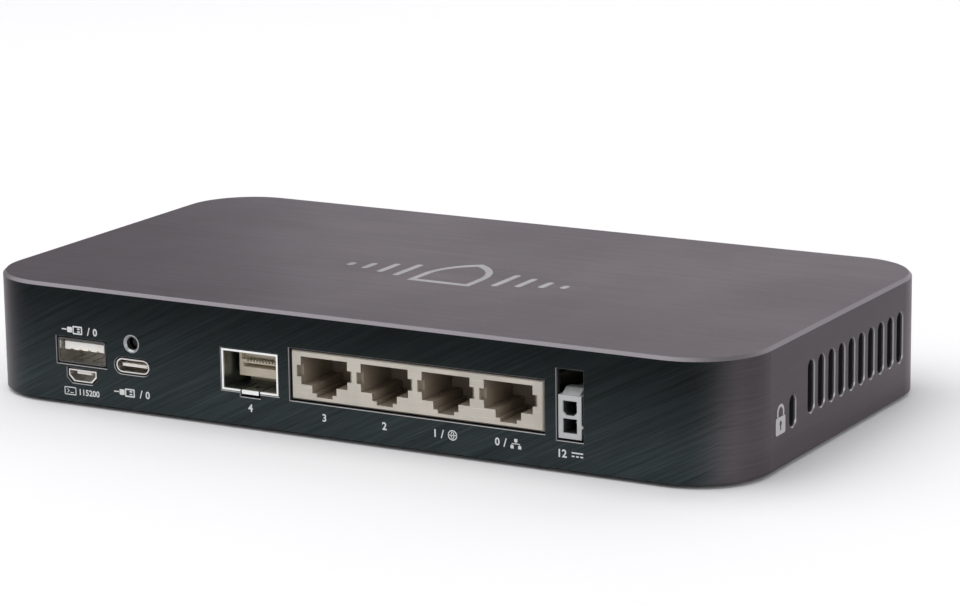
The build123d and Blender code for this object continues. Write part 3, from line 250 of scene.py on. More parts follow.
def new_group(name, inputs, outputs):
    """An empty node group. inputs holds (name, kind, default) and outputs (name, kind)."""
    tree = bpy.data.node_groups.new(name, "ShaderNodeTree")
    for label, kind, default in inputs:
        socket = tree.interface.new_socket(label, in_out="INPUT", socket_type="NodeSocket" + kind)
        if kind == "Float":
            socket.default_value = default
    for label, kind in outputs:
        tree.interface.new_socket(label, in_out="OUTPUT", socket_type="NodeSocket" + kind)
    graph = Graph(tree)
    return graph, graph.node("NodeGroupInput").outputs, graph.node("NodeGroupOutput").inputs


def brushed_streaks_group():
    """Brush streaks: noise stretched by length over width, in a coarse and a fine layer; rare scratches."""
    graph, given, out = new_group(
        STREAKS_GROUP,
        [("Vector", "Vector", None), ("Length", "Float", 0.02), ("Width", "Float", 0.0005)],
        [("Streak", "Float"), ("Scratch", "Float")],
    )
    along, across, aside = graph.split(given["Vector"])
    stretched = graph.join(
        graph.math("DIVIDE", along, given["Length"]),
        graph.math("DIVIDE", across, given["Width"]),
        graph.math("DIVIDE", aside, given["Width"]),
    )
    coarse = graph.noise(stretched, 0.45, detail=3.0, roughness=0.65)
    fine = graph.noise(stretched, 2.3)
    rare = graph.noise(graph.vector("ADD", stretched, (17.0, 5.0, 9.0)), 0.8, detail=1.0)
    blend = graph.math("ADD", graph.math("MULTIPLY", coarse, 0.62), graph.math("MULTIPLY", fine, 0.38))
    graph.feed(out["Streak"], blend)
    graph.feed(out["Scratch"], graph.ramp(rare, 0.66, 0.80))
    return graph.tree


def handling_group():
    """Handling marks: a slow smudge everywhere, and fine dust on faces that look up."""
    graph, given, out = new_group(
        HANDLING_GROUP,
        [("Vector", "Vector", None), ("Size", "Float", 0.03)],
        [("Smudge", "Float"), ("Dust", "Float")],
    )
    scaled = graph.vector("DIVIDE", given["Vector"], graph.join(given["Size"], given["Size"], given["Size"]))
    slow = graph.noise(scaled, 1.0, detail=3.0, roughness=0.55)
    grit = graph.noise(scaled, 55.0, detail=1.0)
    up = graph.split(graph.node("ShaderNodeNewGeometry").outputs["Normal"])[2]
    graph.feed(out["Smudge"], graph.ramp(slow, 0.30, 0.72))
    graph.feed(out["Dust"], graph.math("MULTIPLY", graph.ramp(grit, 0.60, 0.74), graph.ramp(up, 0.4, 0.9)))
    return graph.tree


def moulded_grain_group():
    """Moulded grain: a fine spark texture, its height, and a slow mottle in the colour."""
    graph, given, out = new_group(
        GRAIN_GROUP,
        [("Vector", "Vector", None), ("Size", "Float", 0.0002)],
        [("Height", "Float"), ("Mottle", "Float")],
    )
    scaled = graph.vector("DIVIDE", given["Vector"], graph.join(given["Size"], given["Size"], given["Size"]))
    sparks = graph.noise(scaled, 1.0, detail=3.0, roughness=0.6)
    slow = graph.noise(scaled, 0.06, detail=2.0)
    graph.feed(out["Height"], sparks)
    blend = graph.math("ADD", graph.math("MULTIPLY", sparks, 0.4), graph.math("MULTIPLY", slow, 0.6))
    graph.feed(out["Mottle"], blend)
    return graph.tree


def shared_group(name, build):
    """The node group of this name, built the first time that a finish asks for it."""
    return bpy.data.node_groups.get(name) or build()


def streaks(graph, vector, length, width):
    group = shared_group(STREAKS_GROUP, brushed_streaks_group)
    return graph.use(group, vector=vector, length=length, width=width)


def handling(graph, vector, size):
    group = shared_group(HANDLING_GROUP, handling_group)
    return graph.use(group, vector=vector, size=size)


def grain(graph, vector, size):
    group = shared_group(GRAIN_GROUP, moulded_grain_group)
    return graph.use(group, vector=vector, size=size)


def new_finish(name):
    """A material with its Principled shader, and the object's own coordinates."""
    material = bpy.data.materials.new(name)
    material.use_nodes = True
    material.node_tree.nodes.clear()
    graph = Graph(material.node_tree)
    shader = graph.node("ShaderNodeBsdfPrincipled")
    output = graph.node("ShaderNodeOutputMaterial")
    graph.feed(output.inputs["Surface"], shader.outputs[0])
    place = graph.node("ShaderNodeTexCoord").outputs["Object"]
    return material, graph, shader.inputs, place


def lightened(colour, factor):
    return tuple(min(1.0, part * factor) for part in colour)


# ---------------------------------------------------------------- families of finishes


def brushed_metal(
    name, colour, roughness, along, length, width, depth=0.35, contrast=0.25, touched=None
):
    """Metal with streaks along an axis: 0 for X, 1 for Y, 2 for Z. A touch changes the colour by place."""
    material, graph, shader, place = new_finish(name)
    parts = graph.split(place)
    order = [parts[along], parts[(along + 1) % 3], parts[(along + 2) % 3]]
    marks = streaks(graph, graph.join(*order), length, width)
    touch = handling(graph, place, 12 * MM)
    shade = graph.math("MULTIPLY_ADD", marks["Streak"], 2 * contrast, 1.0 - contrast)
    base = graph.tint(graph.mix(touch["Smudge"], colour, lightened(colour, 0.86)), shade)
    base = graph.mix(marks["Scratch"], base, lightened(colour, 1.2))
    graph.feed(shader["Base Color"], touched(graph, place, base) if touched else base)
    graph.feed(shader["Metallic"], 1.0)
    spread = graph.math("MULTIPLY_ADD", marks["Streak"], 0.16, roughness - 0.08)
    graph.feed(shader["Roughness"], graph.math("MULTIPLY_ADD", touch["Smudge"], 0.07, spread, clamp=True))
    graph.feed(shader["Normal"], graph.bump(marks["Streak"], depth, 0.01 * MM))
    return material


def moulded_plastic(name, colour, roughness, size, depth=0.25, mottle=0.12, specular=0.5, touched=None):
    """Moulded plastic, rubber or epoxy with spark grain. A touch may change the colour by place."""
    material, graph, shader, place = new_finish(name)
    texture = grain(graph, place, size)
    touch = handling(graph, place, 8 * MM)
    base = graph.mix(texture["Mottle"], lightened(colour, 1.0 - mottle), lightened(colour, 1.0 + mottle))
    dusty = graph.math("MULTIPLY", touch["Dust"], 0.25)
    base = graph.mix(dusty, base, (0.35, 0.34, 0.33))
    graph.feed(shader["Base Color"], touched(graph, place, base) if touched else base)
    spread = graph.math("MULTIPLY_ADD", touch["Smudge"], 0.12, roughness - 0.06, clamp=True)
    graph.feed(shader["Roughness"], spread)
    graph.feed(shader["Normal"], graph.bump(texture["Height"], depth, 0.02 * MM))
    shader["Specular IOR Level"].default_value = specular
    return material


def behind_front(graph, place, reach):
    """0 within this reach of the port wall's face, 1 further in."""
    return graph.ramp(graph.split(place)[1], CASE_LOW.y + reach, CASE_LOW.y + reach + 0.1 * MM)


def painted_front_highlight(graph, place, base):
    """The cage's cut front edge with a painted highlight, before its inside, painted dark as shade."""
    return graph.mix(behind_front(graph, place, 0.5 * MM), (0.90, 0.91, 0.90), base)


def dark_front(graph, place, base):
    """The large bus socket's front edge, oxide black, before its bright inside."""
    return graph.mix(behind_front(graph, place, 0.40 * MM), (0.10, 0.10, 0.10), base)


def painted_cut_highlights(graph, place, base):
    """Painted highlight on the shield's cut edges, bright round each opening."""
    normal = graph.split(graph.node("ShaderNodeNewGeometry").outputs["Normal"])
    face = graph.ramp(graph.math("ABSOLUTE", normal[1]), 0.3, 0.6)
    sheet = graph.math("MAXIMUM", face, behind_front(graph, place, 0.7 * MM))
    # painted highlight: the near-white colour on the cut edges
    return graph.mix(sheet, (0.88, 0.86, 0.82), base)


def painted_cavity_shade(graph, place, base):
    """Painted shade in the header's two cavities: dark from just behind its front face and below its latch
    ramp.
    """
    ramp_height = 1.3 * MM
    body_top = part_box("power_header")[1].z - ramp_height
    below = graph.ramp(graph.split(place)[2], body_top - 0.2 * MM, body_top - 0.1 * MM, 1.0, 0.0)
    deep = graph.math("MULTIPLY", below, behind_front(graph, place, 0.8 * MM))
    # painted shade: the cavities' near-black colour
    return graph.mix(deep, base, (0.035, 0.035, 0.036))


# ---------------------------------------------------------------- single finishes


def case_finish(case):
    """Brushed anodised metal: mauve, with painted shade between roof and walls and down the walls, a port
    wall painted near-black as a dark reflection, a light rim, bare cut edges and a dark inside.
    """
    material, graph, shader, place = new_finish("brushed_case")
    x, y, z = graph.split(place)
    normal = graph.split(graph.node("ShaderNodeNewGeometry").outputs["Normal"])
    half_width = CASE_HIGH.x - case.corner_radius
    half_depth = CASE_HIGH.y - case.corner_radius
    # how far a point lies inside the rounded outline, under the roof and behind the roof's bevel
    plan = graph.vector("ABSOLUTE", graph.join(x, y, 0.0))
    beyond = graph.vector("SUBTRACT", plan, (half_width, half_depth, 0.0))
    outward = graph.vector("LENGTH", graph.vector("MAXIMUM", beyond, (0.0, 0.0, 0.0)))
    past_x, past_y, _ = graph.split(beyond)
    inward = graph.math("MINIMUM", graph.math("MAXIMUM", past_x, past_y), 0.0)
    from_side = graph.math("SUBTRACT", case.corner_radius, graph.math("ADD", outward, inward))
    from_roof = graph.math("SUBTRACT", CASE_HIGH.z, z)
    past_rim = graph.math("SUBTRACT", graph.math("ADD", from_side, from_roof), case.rim_width)
    from_bevel = graph.math("MULTIPLY", past_rim, math.sqrt(0.5))
    depth = graph.math("MINIMUM", graph.math("MINIMUM", from_side, from_roof), from_bevel)
    # below the skin comes the bare cut edge, and past the cut edge the unlit inside
    cut = graph.ramp(depth, 0.02 * MM, 0.06 * MM)
    inside = graph.ramp(depth, 0.45 * MM, 0.75 * MM)
    rim = graph.ramp(from_bevel, 0.01 * MM, 0.05 * MM, 1.0, 0.0)

    port = graph.ramp(graph.math("MULTIPLY", normal[1], -1.0), 0.50, 0.98)
    roof_step = graph.math("GREATER_THAN", normal[2], 0.30)
    slope_cos, slope_sin = math.cos(case.port_streak_angle), math.sin(case.port_streak_angle)
    rising = graph.math("ADD", graph.math("MULTIPLY", x, slope_cos), graph.math("MULTIPLY", z, slope_sin))
    stepping = graph.math(
        "SUBTRACT", graph.math("MULTIPLY", z, slope_cos), graph.math("MULTIPLY", x, slope_sin)
    )
    # level streaks on the roof and round the walls, and rising ones on the port wall, blended at its corners
    level = graph.choose(roof_step, graph.join(graph.math("ADD", x, y), z, 0.0), graph.join(x, y, 3.0))
    level_marks = streaks(graph, level, case.streak_length, case.streak_width)
    port_marks = streaks(graph, graph.join(rising, stepping, 2.0), case.streak_length, case.streak_width)
    streak = graph.between(port, level_marks["Streak"], port_marks["Streak"])
    scratch = graph.between(port, level_marks["Scratch"], port_marks["Scratch"])
    touch = handling(graph, place, 45 * MM)

    # painted shade: one brushed metal, in a darker roof tone and a lighter wall tone
    skin = graph.mix(roof_step, tuple(case.wall_colour), tuple(case.roof_colour))
    # painted reflection: the port wall, the same metal, is painted near-black for the dark surroundings that
    # it mirrors
    skin = graph.mix(port, skin, tuple(case.port_painted_reflection_colour))
    contrast = graph.between(port, graph.between(roof_step, 1.25, 0.75), 2.4)
    shade = graph.math("MULTIPLY", graph.math("SUBTRACT", streak, 0.5), contrast)
    shade = graph.math("MAXIMUM", graph.math("ADD", shade, 1.0), 0.15)
    # painted shade: every wall is painted darker towards the roof and lighter towards the floor, and the port
    # wall most of all
    low_painted_shade, high_painted_shade = graph.between(port, 1.0, 1.62), graph.between(port, 0.72, 0.47)
    painted_shade_fall = graph.ramp(z, CASE_LOW.z, CASE_HIGH.z, low_painted_shade, high_painted_shade)
    painted_shade_fall = graph.between(roof_step, painted_shade_fall, 1.0)
    skin = graph.tint(skin, graph.math("MULTIPLY", shade, painted_shade_fall))
    skin = graph.mix(graph.math("MULTIPLY", scratch, 0.03), skin, (0.30, 0.29, 0.30))
    skin = graph.mix(graph.math("MULTIPLY", touch["Dust"], 0.05), skin, (0.42, 0.41, 0.41))
    skin = graph.mix(rim, skin, tuple(case.rim_colour))
    skin = graph.mix(cut, skin, tuple(case.cut_colour))
    graph.feed(shader["Base Color"], graph.mix(inside, skin, tuple(case.inside_colour)))
    graph.feed(shader["Metallic"], graph.between(inside, 0.96, 0.0))
    spread = graph.math("MULTIPLY_ADD", streak, 0.22, 0.23)
    spread = graph.math("MULTIPLY_ADD", touch["Smudge"], 0.05, spread)
    spread = graph.between(rim, spread, 0.46)
    graph.feed(shader["Roughness"], graph.between(inside, graph.between(cut, spread, 0.42), 0.75))
    graph.feed(shader["Normal"], graph.bump(streak, 0.30, 0.012 * MM))
    # the dyed oxide also tints the sheen at a low angle
    shader["Specular Tint"].default_value = (0.87, 0.83, 0.86, 1.0)
    return material


def board_finish():
    """Green solder mask with fine traces and a scatter of plated holes."""
    material, graph, shader, place = new_finish("circuit_board")
    cells = graph.node("ShaderNodeTexVoronoi", feature="F1", distance="MANHATTAN")
    graph.feed(cells.inputs["Vector"], place)
    graph.feed(cells.inputs["Scale"], 420.0)
    lanes = graph.node("ShaderNodeTexWave", wave_type="BANDS", bands_direction="X")
    graph.feed(lanes.inputs["Vector"], place)
    graph.feed(lanes.inputs["Scale"], 380.0)
    graph.feed(lanes.inputs["Distortion"], 1.2)
    trace = graph.ramp(lanes.outputs["Fac"], 0.55, 0.75)
    hole = graph.ramp(cells.outputs["Distance"], 0.10, 0.16, 1.0, 0.0)
    touch = handling(graph, place, 10 * MM)
    mask = graph.mix(trace, (0.012, 0.052, 0.028), (0.020, 0.085, 0.045))
    mask = graph.mix(touch["Smudge"], mask, graph.tint(mask, 0.8))
    graph.feed(shader["Base Color"], graph.mix(hole, mask, (0.62, 0.55, 0.36)))
    graph.feed(shader["Metallic"], hole)
    graph.feed(shader["Roughness"], graph.math("MULTIPLY_ADD", touch["Smudge"], 0.15, 0.30))
    graph.feed(shader["Normal"], graph.bump(trace, 0.3, 0.03 * MM))
    return material


def clear_finish():
    """Clear moulded acrylic with faint flow lines."""
    material, graph, shader, place = new_finish("clear_acrylic")
    texture = grain(graph, place, 0.6 * MM)
    tinge = graph.mix(texture["Mottle"], (0.80, 0.85, 0.88), (0.93, 0.95, 0.96))
    graph.feed(shader["Base Color"], tinge)
    graph.feed(shader["Roughness"], graph.math("MULTIPLY_ADD", texture["Mottle"], 0.14, 0.10))
    graph.feed(shader["Normal"], graph.bump(texture["Height"], 0.15, 0.02 * MM))
    shader["Transmission Weight"].default_value = 0.75
    shader["IOR"].default_value = 1.49
    return material


def ink_finish(name, colour):
    """Printed ink with a slightly uneven film."""
    material, graph, shader, place = new_finish(name)
    texture = grain(graph, place, 0.12 * MM)
    film = graph.mix(texture["Mottle"], lightened(colour, 0.85), lightened(colour, 1.1))
    graph.feed(shader["Base Color"], film)
    graph.feed(shader["Roughness"], graph.math("MULTIPLY_ADD", texture["Mottle"], 0.2, 0.42))
    graph.feed(shader["Normal"], graph.bump(texture["Height"], 0.2, 0.004 * MM))
    return material


# ---------------------------------------------------------------- new surfaces


def mesh_from(name, points, faces, material):
    """An object at the origin with its place in its mesh."""
    mesh = bpy.data.meshes.new(name)
    mesh.from_pydata(points, [], faces)
    mesh.update()
    mesh.materials.append(material)
    made = bpy.data.objects.new(name, mesh)
    bpy.context.scene.collection.objects.link(made)
    return made


def revolved(name, radii, heights, turns, material):
    """A profile of radius r and height h turned about +Z: x = r cos t, y = r sin t, z = h."""
    angle = np.linspace(0.0, 2.0 * math.pi, turns, endpoint=False)
    radius, spin = np.meshgrid(np.asarray(radii), angle, indexing="ij")
    height = np.repeat(np.asarray(heights)[:, None], turns, axis=1)
    points = np.stack([radius * np.cos(spin), radius * np.sin(spin), height], -1).reshape(-1, 3)
    row, column = np.meshgrid(np.arange(len(radii) - 1), np.arange(turns), indexing="ij")
    after = (column + 1) % turns
    inner, outer = row * turns, (row + 1) * turns
    faces = np.stack([inner + column, outer + column, outer + after, inner + after], -1)
    return mesh_from(name, points, faces.reshape(-1, 4).tolist(), material)


def flat_curve(outlines):
    """Closed outlines as one filled flat curve: an outline inside another is a hole."""
    curve = bpy.data.curves.new("outline", "CURVE")
    curve.dimensions = "2D"
    curve.fill_mode = "BOTH"
    for outline in outlines:
        spline = curve.splines.new("POLY")
        spline.points.add(len(outline) - 1)
        flat = np.zeros((len(outline), 4))
        flat[:, :2] = outline
        flat[:, 3] = 1.0
        spline.points.foreach_set("co", flat.ravel())
        spline.use_cyclic_u = True
    return curve


def number_curve(text):
    """Digits in the built-in font, a little bolder."""
    curve = bpy.data.curves.new("number", "FONT")
    curve.body = text
    curve.offset = 0.022
    curve.resolution_u = 4
    return curve


def solid_shape(curve, thickness):
    """Points and faces of a flat curve given a thickness, from its own middle, in x and y."""
    curve.extrude = thickness / 2
    holder = bpy.data.objects.new("shape", curve)
    mesh = bpy.data.meshes.new_from_object(holder)
    points = np.empty(len(mesh.vertices) * 3)
    mesh.vertices.foreach_get("co", points)
    faces = [tuple(face.vertices) for face in mesh.polygons]
    bpy.data.objects.remove(holder)
    bpy.data.curves.remove(curve)
    bpy.data.meshes.remove(mesh)
    return points.reshape(-1, 3), faces


def fitted(shape, middle, height):
    """A shape moved and scaled in its plane, so that it has this middle and height. Its thickness stays."""
    points, faces = shape
    low, high = points.min(0), points.max(0)
    factor = height / (high[1] - low[1])
    points = points.copy()
    points[:, :2] = (points[:, :2] - (low[:2] + high[:2]) / 2) * factor + np.asarray(middle)
    return points, faces


def gathered(shapes):
    """Several shapes as one."""
    points, faces, start = [], [], 0
    for corners, sides in shapes:
        points.append(corners)
        faces += [tuple(index + start for index in side) for side in sides]
        start += len(corners)
    return np.concatenate(points), faces


def on_wall(shape, across, up, out, origin):
    """Lays a flat shape on a wall: x runs across it, y up it and z out of it."""
    points, faces = shape
    return points @ np.array([across, up, out], float) + np.asarray(origin), faces


def arc(middle, radius, start, end, steps):
    """Points of an arc in degrees, from start to end."""
    angle = np.radians(np.linspace(start, end, steps))
    return np.stack([middle[0] + radius * np.cos(angle), middle[1] + radius * np.sin(angle)], -1)


def rounded_box(low, high, radius):
    """A rectangle with round corners: one quarter arc about each inset corner."""
    corners = [
        ((high[0] - radius, high[1] - radius), 0),
        ((low[0] + radius, high[1] - radius), 90),
        ((low[0] + radius, low[1] + radius), 180),
        ((high[0] - radius, low[1] + radius), 270),
    ]
    return np.concatenate([arc(middle, radius, turn, turn + 90, 5) for middle, turn in corners])


def band(outer, inner):
    """An arch: out along one line of points and back along the other."""
    return np.concatenate([outer, inner[::-1]])


# each sign is drawn about its own middle in units of its height


def padlock_sign():
    """A body with a keyhole, under an arched shackle."""
    body = rounded_box((-0.36, -0.5), (0.36, 0.08), 0.07)
    hole = np.concatenate([arc((0, -0.14), 0.09, -60, 240, 13), [(-0.045, -0.36), (0.045, -0.36)]])
    outer = np.concatenate([[(0.27, 0.10)], arc((0, 0.23), 0.27, 0, 180, 17), [(-0.27, 0.10)]])
    inner = np.concatenate([[(0.17, 0.10)], arc((0, 0.23), 0.17, 0, 180, 17), [(-0.17, 0.10)]])
    return [body, hole, band(outer, inner)]


def data_plug_sign():
    """A plug: a hollow body with two contacts, and a cable stub."""
    shell = rounded_box((-0.2, -0.42), (0.95, 0.42), 0.08)
    hollow = rounded_box((-0.06, -0.28), (0.81, 0.28), 0.05)
    contacts = [rounded_box((0.34, level - 0.07), (0.66, level + 0.07), 0.03) for level in (-0.14, 0.14)]
    collar = rounded_box((-0.85, -0.28), (-0.26, 0.28), 0.1)
    stub = rounded_box((-1.5, -0.06), (-0.91, 0.06), 0.03)
    return [shell, hollow, *contacts, collar, stub]


def slash_sign():
    """A leaning bar."""
    return [np.array([(-0.22, -0.5), (-0.08, -0.5), (0.22, 0.5), (0.08, 0.5)])]


def prompt_sign():
    """A terminal window with a prompt and a waiting line."""
    frame_line = rounded_box((-0.85, -0.5), (0.85, 0.5), 0.12)
    glass = rounded_box((-0.74, -0.39), (0.74, 0.39), 0.06)
    chevron = np.array(
        [(-0.5, 0.24), (-0.38, 0.24), (-0.12, 0.0), (-0.38, -0.24), (-0.5, -0.24), (-0.24, 0.0)]
    )
    waiting = rounded_box((0.0, -0.25), (0.46, -0.15), 0.03)
    return [frame_line, glass, chevron, waiting]


def direct_current_sign():
    """A long bar over three dashes."""
    bar = rounded_box((-0.9, 0.16), (0.9, 0.36), 0.02)
    half_dash, corner = 0.22, 0.02
    dashes = [
        rounded_box((middle - half_dash, -0.34), (middle + half_dash, -0.14), corner)
        for middle in (-0.68, 0.0, 0.68)
    ]
    return [bar, *dashes]


def globe_sign():
    """The outside network: a ring around a narrow ring, cut by a band at its middle."""
    ring, gap = 0.5, 0.40
    halves = []
    for sign in (1, -1):
        edge = arc((0, 0), ring, 8, 172, 15) * (1, sign)
        inner = arc((0, 0), gap, 10, 170, 15) * (1, sign)
        halves.append(band(edge, inner))
        lens = arc((0, 0), 1.0, 14, 166, 11) * (0.2, 0.36 * sign)
        halves.append(band(lens, lens * (0.5, 0.84)))
    middle = rounded_box((-0.5, -0.045), (0.5, 0.045), 0.02)
    return [*halves, middle]


def branch_sign():
    """The inside network: one square over two, joined by short bars."""
    top = rounded_box((-0.17, 0.16), (0.17, 0.5), 0.04)
    feet = [rounded_box((middle - 0.17, -0.5), (middle + 0.17, -0.16), 0.04) for middle in (-0.42, 0.42)]
    stem = rounded_box((-0.04, 0.06), (0.04, 0.14), 0.01)
    rail = rounded_box((-0.46, -0.04), (0.46, 0.04), 0.01)
    drops = [rounded_box((middle - 0.04, -0.14), (middle + 0.04, -0.06), 0.01) for middle in (-0.42, 0.42)]
    return [top, *feet, stem, rail, *drops]


def shield_sign():
    """A shield between bars that shorten outwards: two arcs of radius 1 meet at the shield's point."""
    sides = [arc((-0.5, 0.05), 1.0, 0, -60, 15), arc((0.5, 0.05), 1.0, -120, -180, 15)]
    shield = np.concatenate([[(-0.5, 0.5), (0.5, 0.5)], *sides])
    middle = np.array([0.0, -0.04])
    inner = (shield - middle) * 0.80 + middle
    bars = []
    half_width, level = 0.05, -0.05
    for place, reach in ((0.80, 0.38), (1.12, 0.28), (1.44, 0.18), (1.74, 0.09)):
        for x in (-place, place):
            bars.append(rounded_box((x - half_width, level - reach), (x + half_width, level + reach), 0.04))
    return [shield, inner, *bars]


# ---------------------------------------------------------------- operators


def assign(finish, *nodes):
    """Gives each named node of the frame this finish."""
    for name in nodes:
        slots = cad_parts[name].material_slots
        if not slots:
            raise RuntimeError(f"{name} has no material slot")
        for each in slots:
            each.material = finish


def middle_x(node):
    """The middle of a node's box across the port wall."""
    low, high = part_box(node)
    return (low.x + high.x) / 2


class APPLIANCE_OT_case(bpy.types.Operator):
    """Finishes the brushed cover, the base plate, its feet, its screws and the lock plate"""

    bl_idname = "appliance.case"
    bl_label = "Case, Base and Feet"

    def execute(self, context):
        assign(case_finish(context.scene.appliance_case), "top_cover")
        finish = moulded_plastic(
            "base_paint", (0.020, 0.020, 0.022), roughness=0.52, size=0.35 * MM, depth=0.5
        )
        assign(finish, "base_plate")
        finish = moulded_plastic(
            "foot_rubber", (0.016, 0.016, 0.017), roughness=0.78, size=0.22 * MM, depth=0.6, mottle=0.2,
            specular=0.3
        )
        assign(finish, "rubber_feet")
        finish = brushed_metal(
            "screw_steel", (0.30, 0.30, 0.31), roughness=0.34, along=0, length=1.5 * MM, width=0.08 * MM
        )
        assign(finish, "base_screws", "board_screws", "sink_screws")
        finish = brushed_metal(
            "lock_sheet", (0.34, 0.34, 0.35), roughness=0.40, along=2, length=5 * MM, width=0.15 * MM
        )
        assign(finish, "lock_plate")
        return {"FINISHED"}


class APPLIANCE_OT_network_jack(bpy.types.Operator):
    """Finishes the four network sockets: plated shield, brown-grey housing and gold contacts"""

    bl_idname = "appliance.network_jack"
    bl_label = "Network Sockets"

    def execute(self, context):
        # the shield's cut edges take a painted highlight
        finish = brushed_metal(
            "satin_nickel", (0.58, 0.545, 0.48), roughness=0.40, along=0, length=6 * MM, width=0.10 * MM,
            depth=0.2, contrast=0.10, touched=painted_cut_highlights
        )
        assign(finish, "jack_shield")
        finish = moulded_plastic(
            "socket_body", (0.235, 0.195, 0.148), roughness=0.42, size=0.16 * MM, depth=0.3, mottle=0.18
        )
        assign(finish, "jack_housing")
        gold = brushed_metal(
            "gold_contact", (0.83, 0.62, 0.30), roughness=0.26, along=1, length=3 * MM, width=0.05 * MM,
            depth=0.15, contrast=0.08
        )
        assign(gold, "jack_contacts", "usb_a_contacts", "usb_c_pads")
        return {"FINISHED"}


class APPLIANCE_OT_module_bay(bpy.types.Operator):
    """Finishes the pluggable-module bay: plated cage in painted shade with a painted highlight on its front
    edge, sprung tongue and beige plug
    """

    bl_idname = "appliance.module_bay"
    bl_label = "Module Bay"

    def execute(self, context):
        # the cage is painted dark as shade for its inside, and its front edge gets a painted highlight
        finish = brushed_metal(
            "cage_plating", (0.20, 0.225, 0.205), roughness=0.34, along=1, length=7 * MM, width=0.12 * MM,
            depth=0.2, contrast=0.14, touched=painted_front_highlight
        )
        assign(finish, "module_cage", "cage_latch")
        finish = moulded_plastic(
            "beige_plug", (0.76, 0.67, 0.53), roughness=0.46, size=0.15 * MM, depth=0.25, mottle=0.10
        )
        assign(finish, "module_plug")
        return {"FINISHED"}


class APPLIANCE_OT_bus_sockets(bpy.types.Operator):
    """Finishes the two serial-bus sockets and the console socket"""

    bl_idname = "appliance.bus_sockets"
    bl_label = "Bus and Console Sockets"

    def execute(self, context):
        finish = brushed_metal(
            "socket_steel", (0.70, 0.68, 0.66), roughness=0.26, along=1, length=4 * MM, width=0.09 * MM,
            depth=0.2, contrast=0.12
        )
        assign(finish, "usb_c_shell", "console_shell")
        finish = brushed_metal(
            "edged_steel", (0.78, 0.76, 0.73), roughness=0.24, along=1, length=4 * MM, width=0.09 * MM,
            depth=0.2, contrast=0.12, touched=dark_front
        )
        assign(finish, "usb_a_shell")
        finish = moulded_plastic(
            "white_tongue", (0.86, 0.84, 0.80), roughness=0.38, size=0.15 * MM, depth=0.2, mottle=0.06
        )
        assign(finish, "usb_a_tongue")
        finish = moulded_plastic(
            "pale_tongue", (0.82, 0.79, 0.73), roughness=0.42, size=0.12 * MM, depth=0.2, mottle=0.08
        )
        assign(finish, "console_tongue", "usb_c_tongue")
        return {"FINISHED"}


class APPLIANCE_OT_reset(bpy.types.Operator):
    """Finishes the reset button, its bevelled ring and the black parts behind it"""

    bl_idname = "appliance.reset"
    bl_label = "Reset Button"

    def execute(self, context):
        finish = brushed_metal(
            "ring_steel", (0.36, 0.37, 0.375), roughness=0.32, along=2, length=1.2 * MM, width=0.06 * MM,
            depth=0.2, contrast=0.10
        )
        assign(finish, "reset_ring")
        finish = moulded_plastic("black_moulding", (0.018, 0.018, 0.019), roughness=0.40, size=0.18 * MM)
        assign(finish, "reset_button", "reset_switch", "cell_holder")
        return {"FINISHED"}


class APPLIANCE_OT_power_inlet(bpy.types.Operator):
    """Finishes the two-way power header and its pins"""

    bl_idname = "appliance.power_inlet"
    bl_label = "Power Inlet"

    def execute(self, context):
        # the header's cavities get painted shade
        finish = moulded_plastic(
            "header_grey", (0.42, 0.43, 0.43), roughness=0.44, size=0.16 * MM, depth=0.3, mottle=0.10,
            touched=painted_cavity_shade
        )
        assign(finish, "power_header")
        finish = brushed_metal(
            "tin_pin", (0.62, 0.61, 0.58), roughness=0.30, along=1, length=2 * MM, width=0.06 * MM
        )
        assign(finish, "power_pins")
        return {"FINISHED"}


class APPLIANCE_OT_board(bpy.types.Operator):
    """Finishes the circuit board and what is mounted on it"""

    bl_idname = "appliance.board"
    bl_label = "Circuit Board"

    def execute(self, context):
        assign(board_finish(), "main_board")
        finish = brushed_metal(
            "standoff_brass", (0.72, 0.55, 0.27), roughness=0.30, along=2, length=2 * MM, width=0.1 * MM
        )
        assign(finish, "board_standoffs")
        finish = moulded_plastic(
            "chip_epoxy", (0.022, 0.022, 0.024), roughness=0.50, size=0.20 * MM, depth=0.35
        )
        assign(finish, "processor", "memory_chips", "switch_chip", "storage_chip", "line_transformers")
        finish = moulded_plastic(
            "thermal_grey", (0.33, 0.36, 0.41), roughness=0.72, size=0.3 * MM, depth=0.5
        )
        assign(finish, "thermal_pad")
        finish = brushed_metal(
            "extruded_sink", (0.62, 0.62, 0.64), roughness=0.36, along=1, length=20 * MM, width=0.3 * MM
        )
        assign(finish, "heat_sink")
        finish = moulded_plastic(
            "ferrite", (0.055, 0.055, 0.060), roughness=0.58, size=0.25 * MM, depth=0.5
        )
        assign(finish, "power_inductors")
        finish = brushed_metal(
            "drawn_can", (0.70, 0.70, 0.72), roughness=0.28, along=2, length=6 * MM, width=0.3 * MM
        )
        assign(finish, "power_capacitors")
        finish = brushed_metal(
            "cell_steel", (0.74, 0.74, 0.72), roughness=0.24, along=0, length=4 * MM, width=0.2 * MM
        )
        assign(finish, "clock_cell")
        return {"FINISHED"}


class APPLIANCE_OT_status_lights(bpy.types.Operator):
    """Finishes the clear light guide and the lamps behind it"""

    bl_idname = "appliance.status_lights"
    bl_label = "Status Lights"

    def execute(self, context):
        assign(clear_finish(), "light_guide")
        finish = moulded_plastic(
            "lamp_white", (0.82, 0.80, 0.70), roughness=0.34, size=0.2 * MM, depth=0.1, mottle=0.05
        )
        assign(finish, "status_lights")
        return {"FINISHED"}


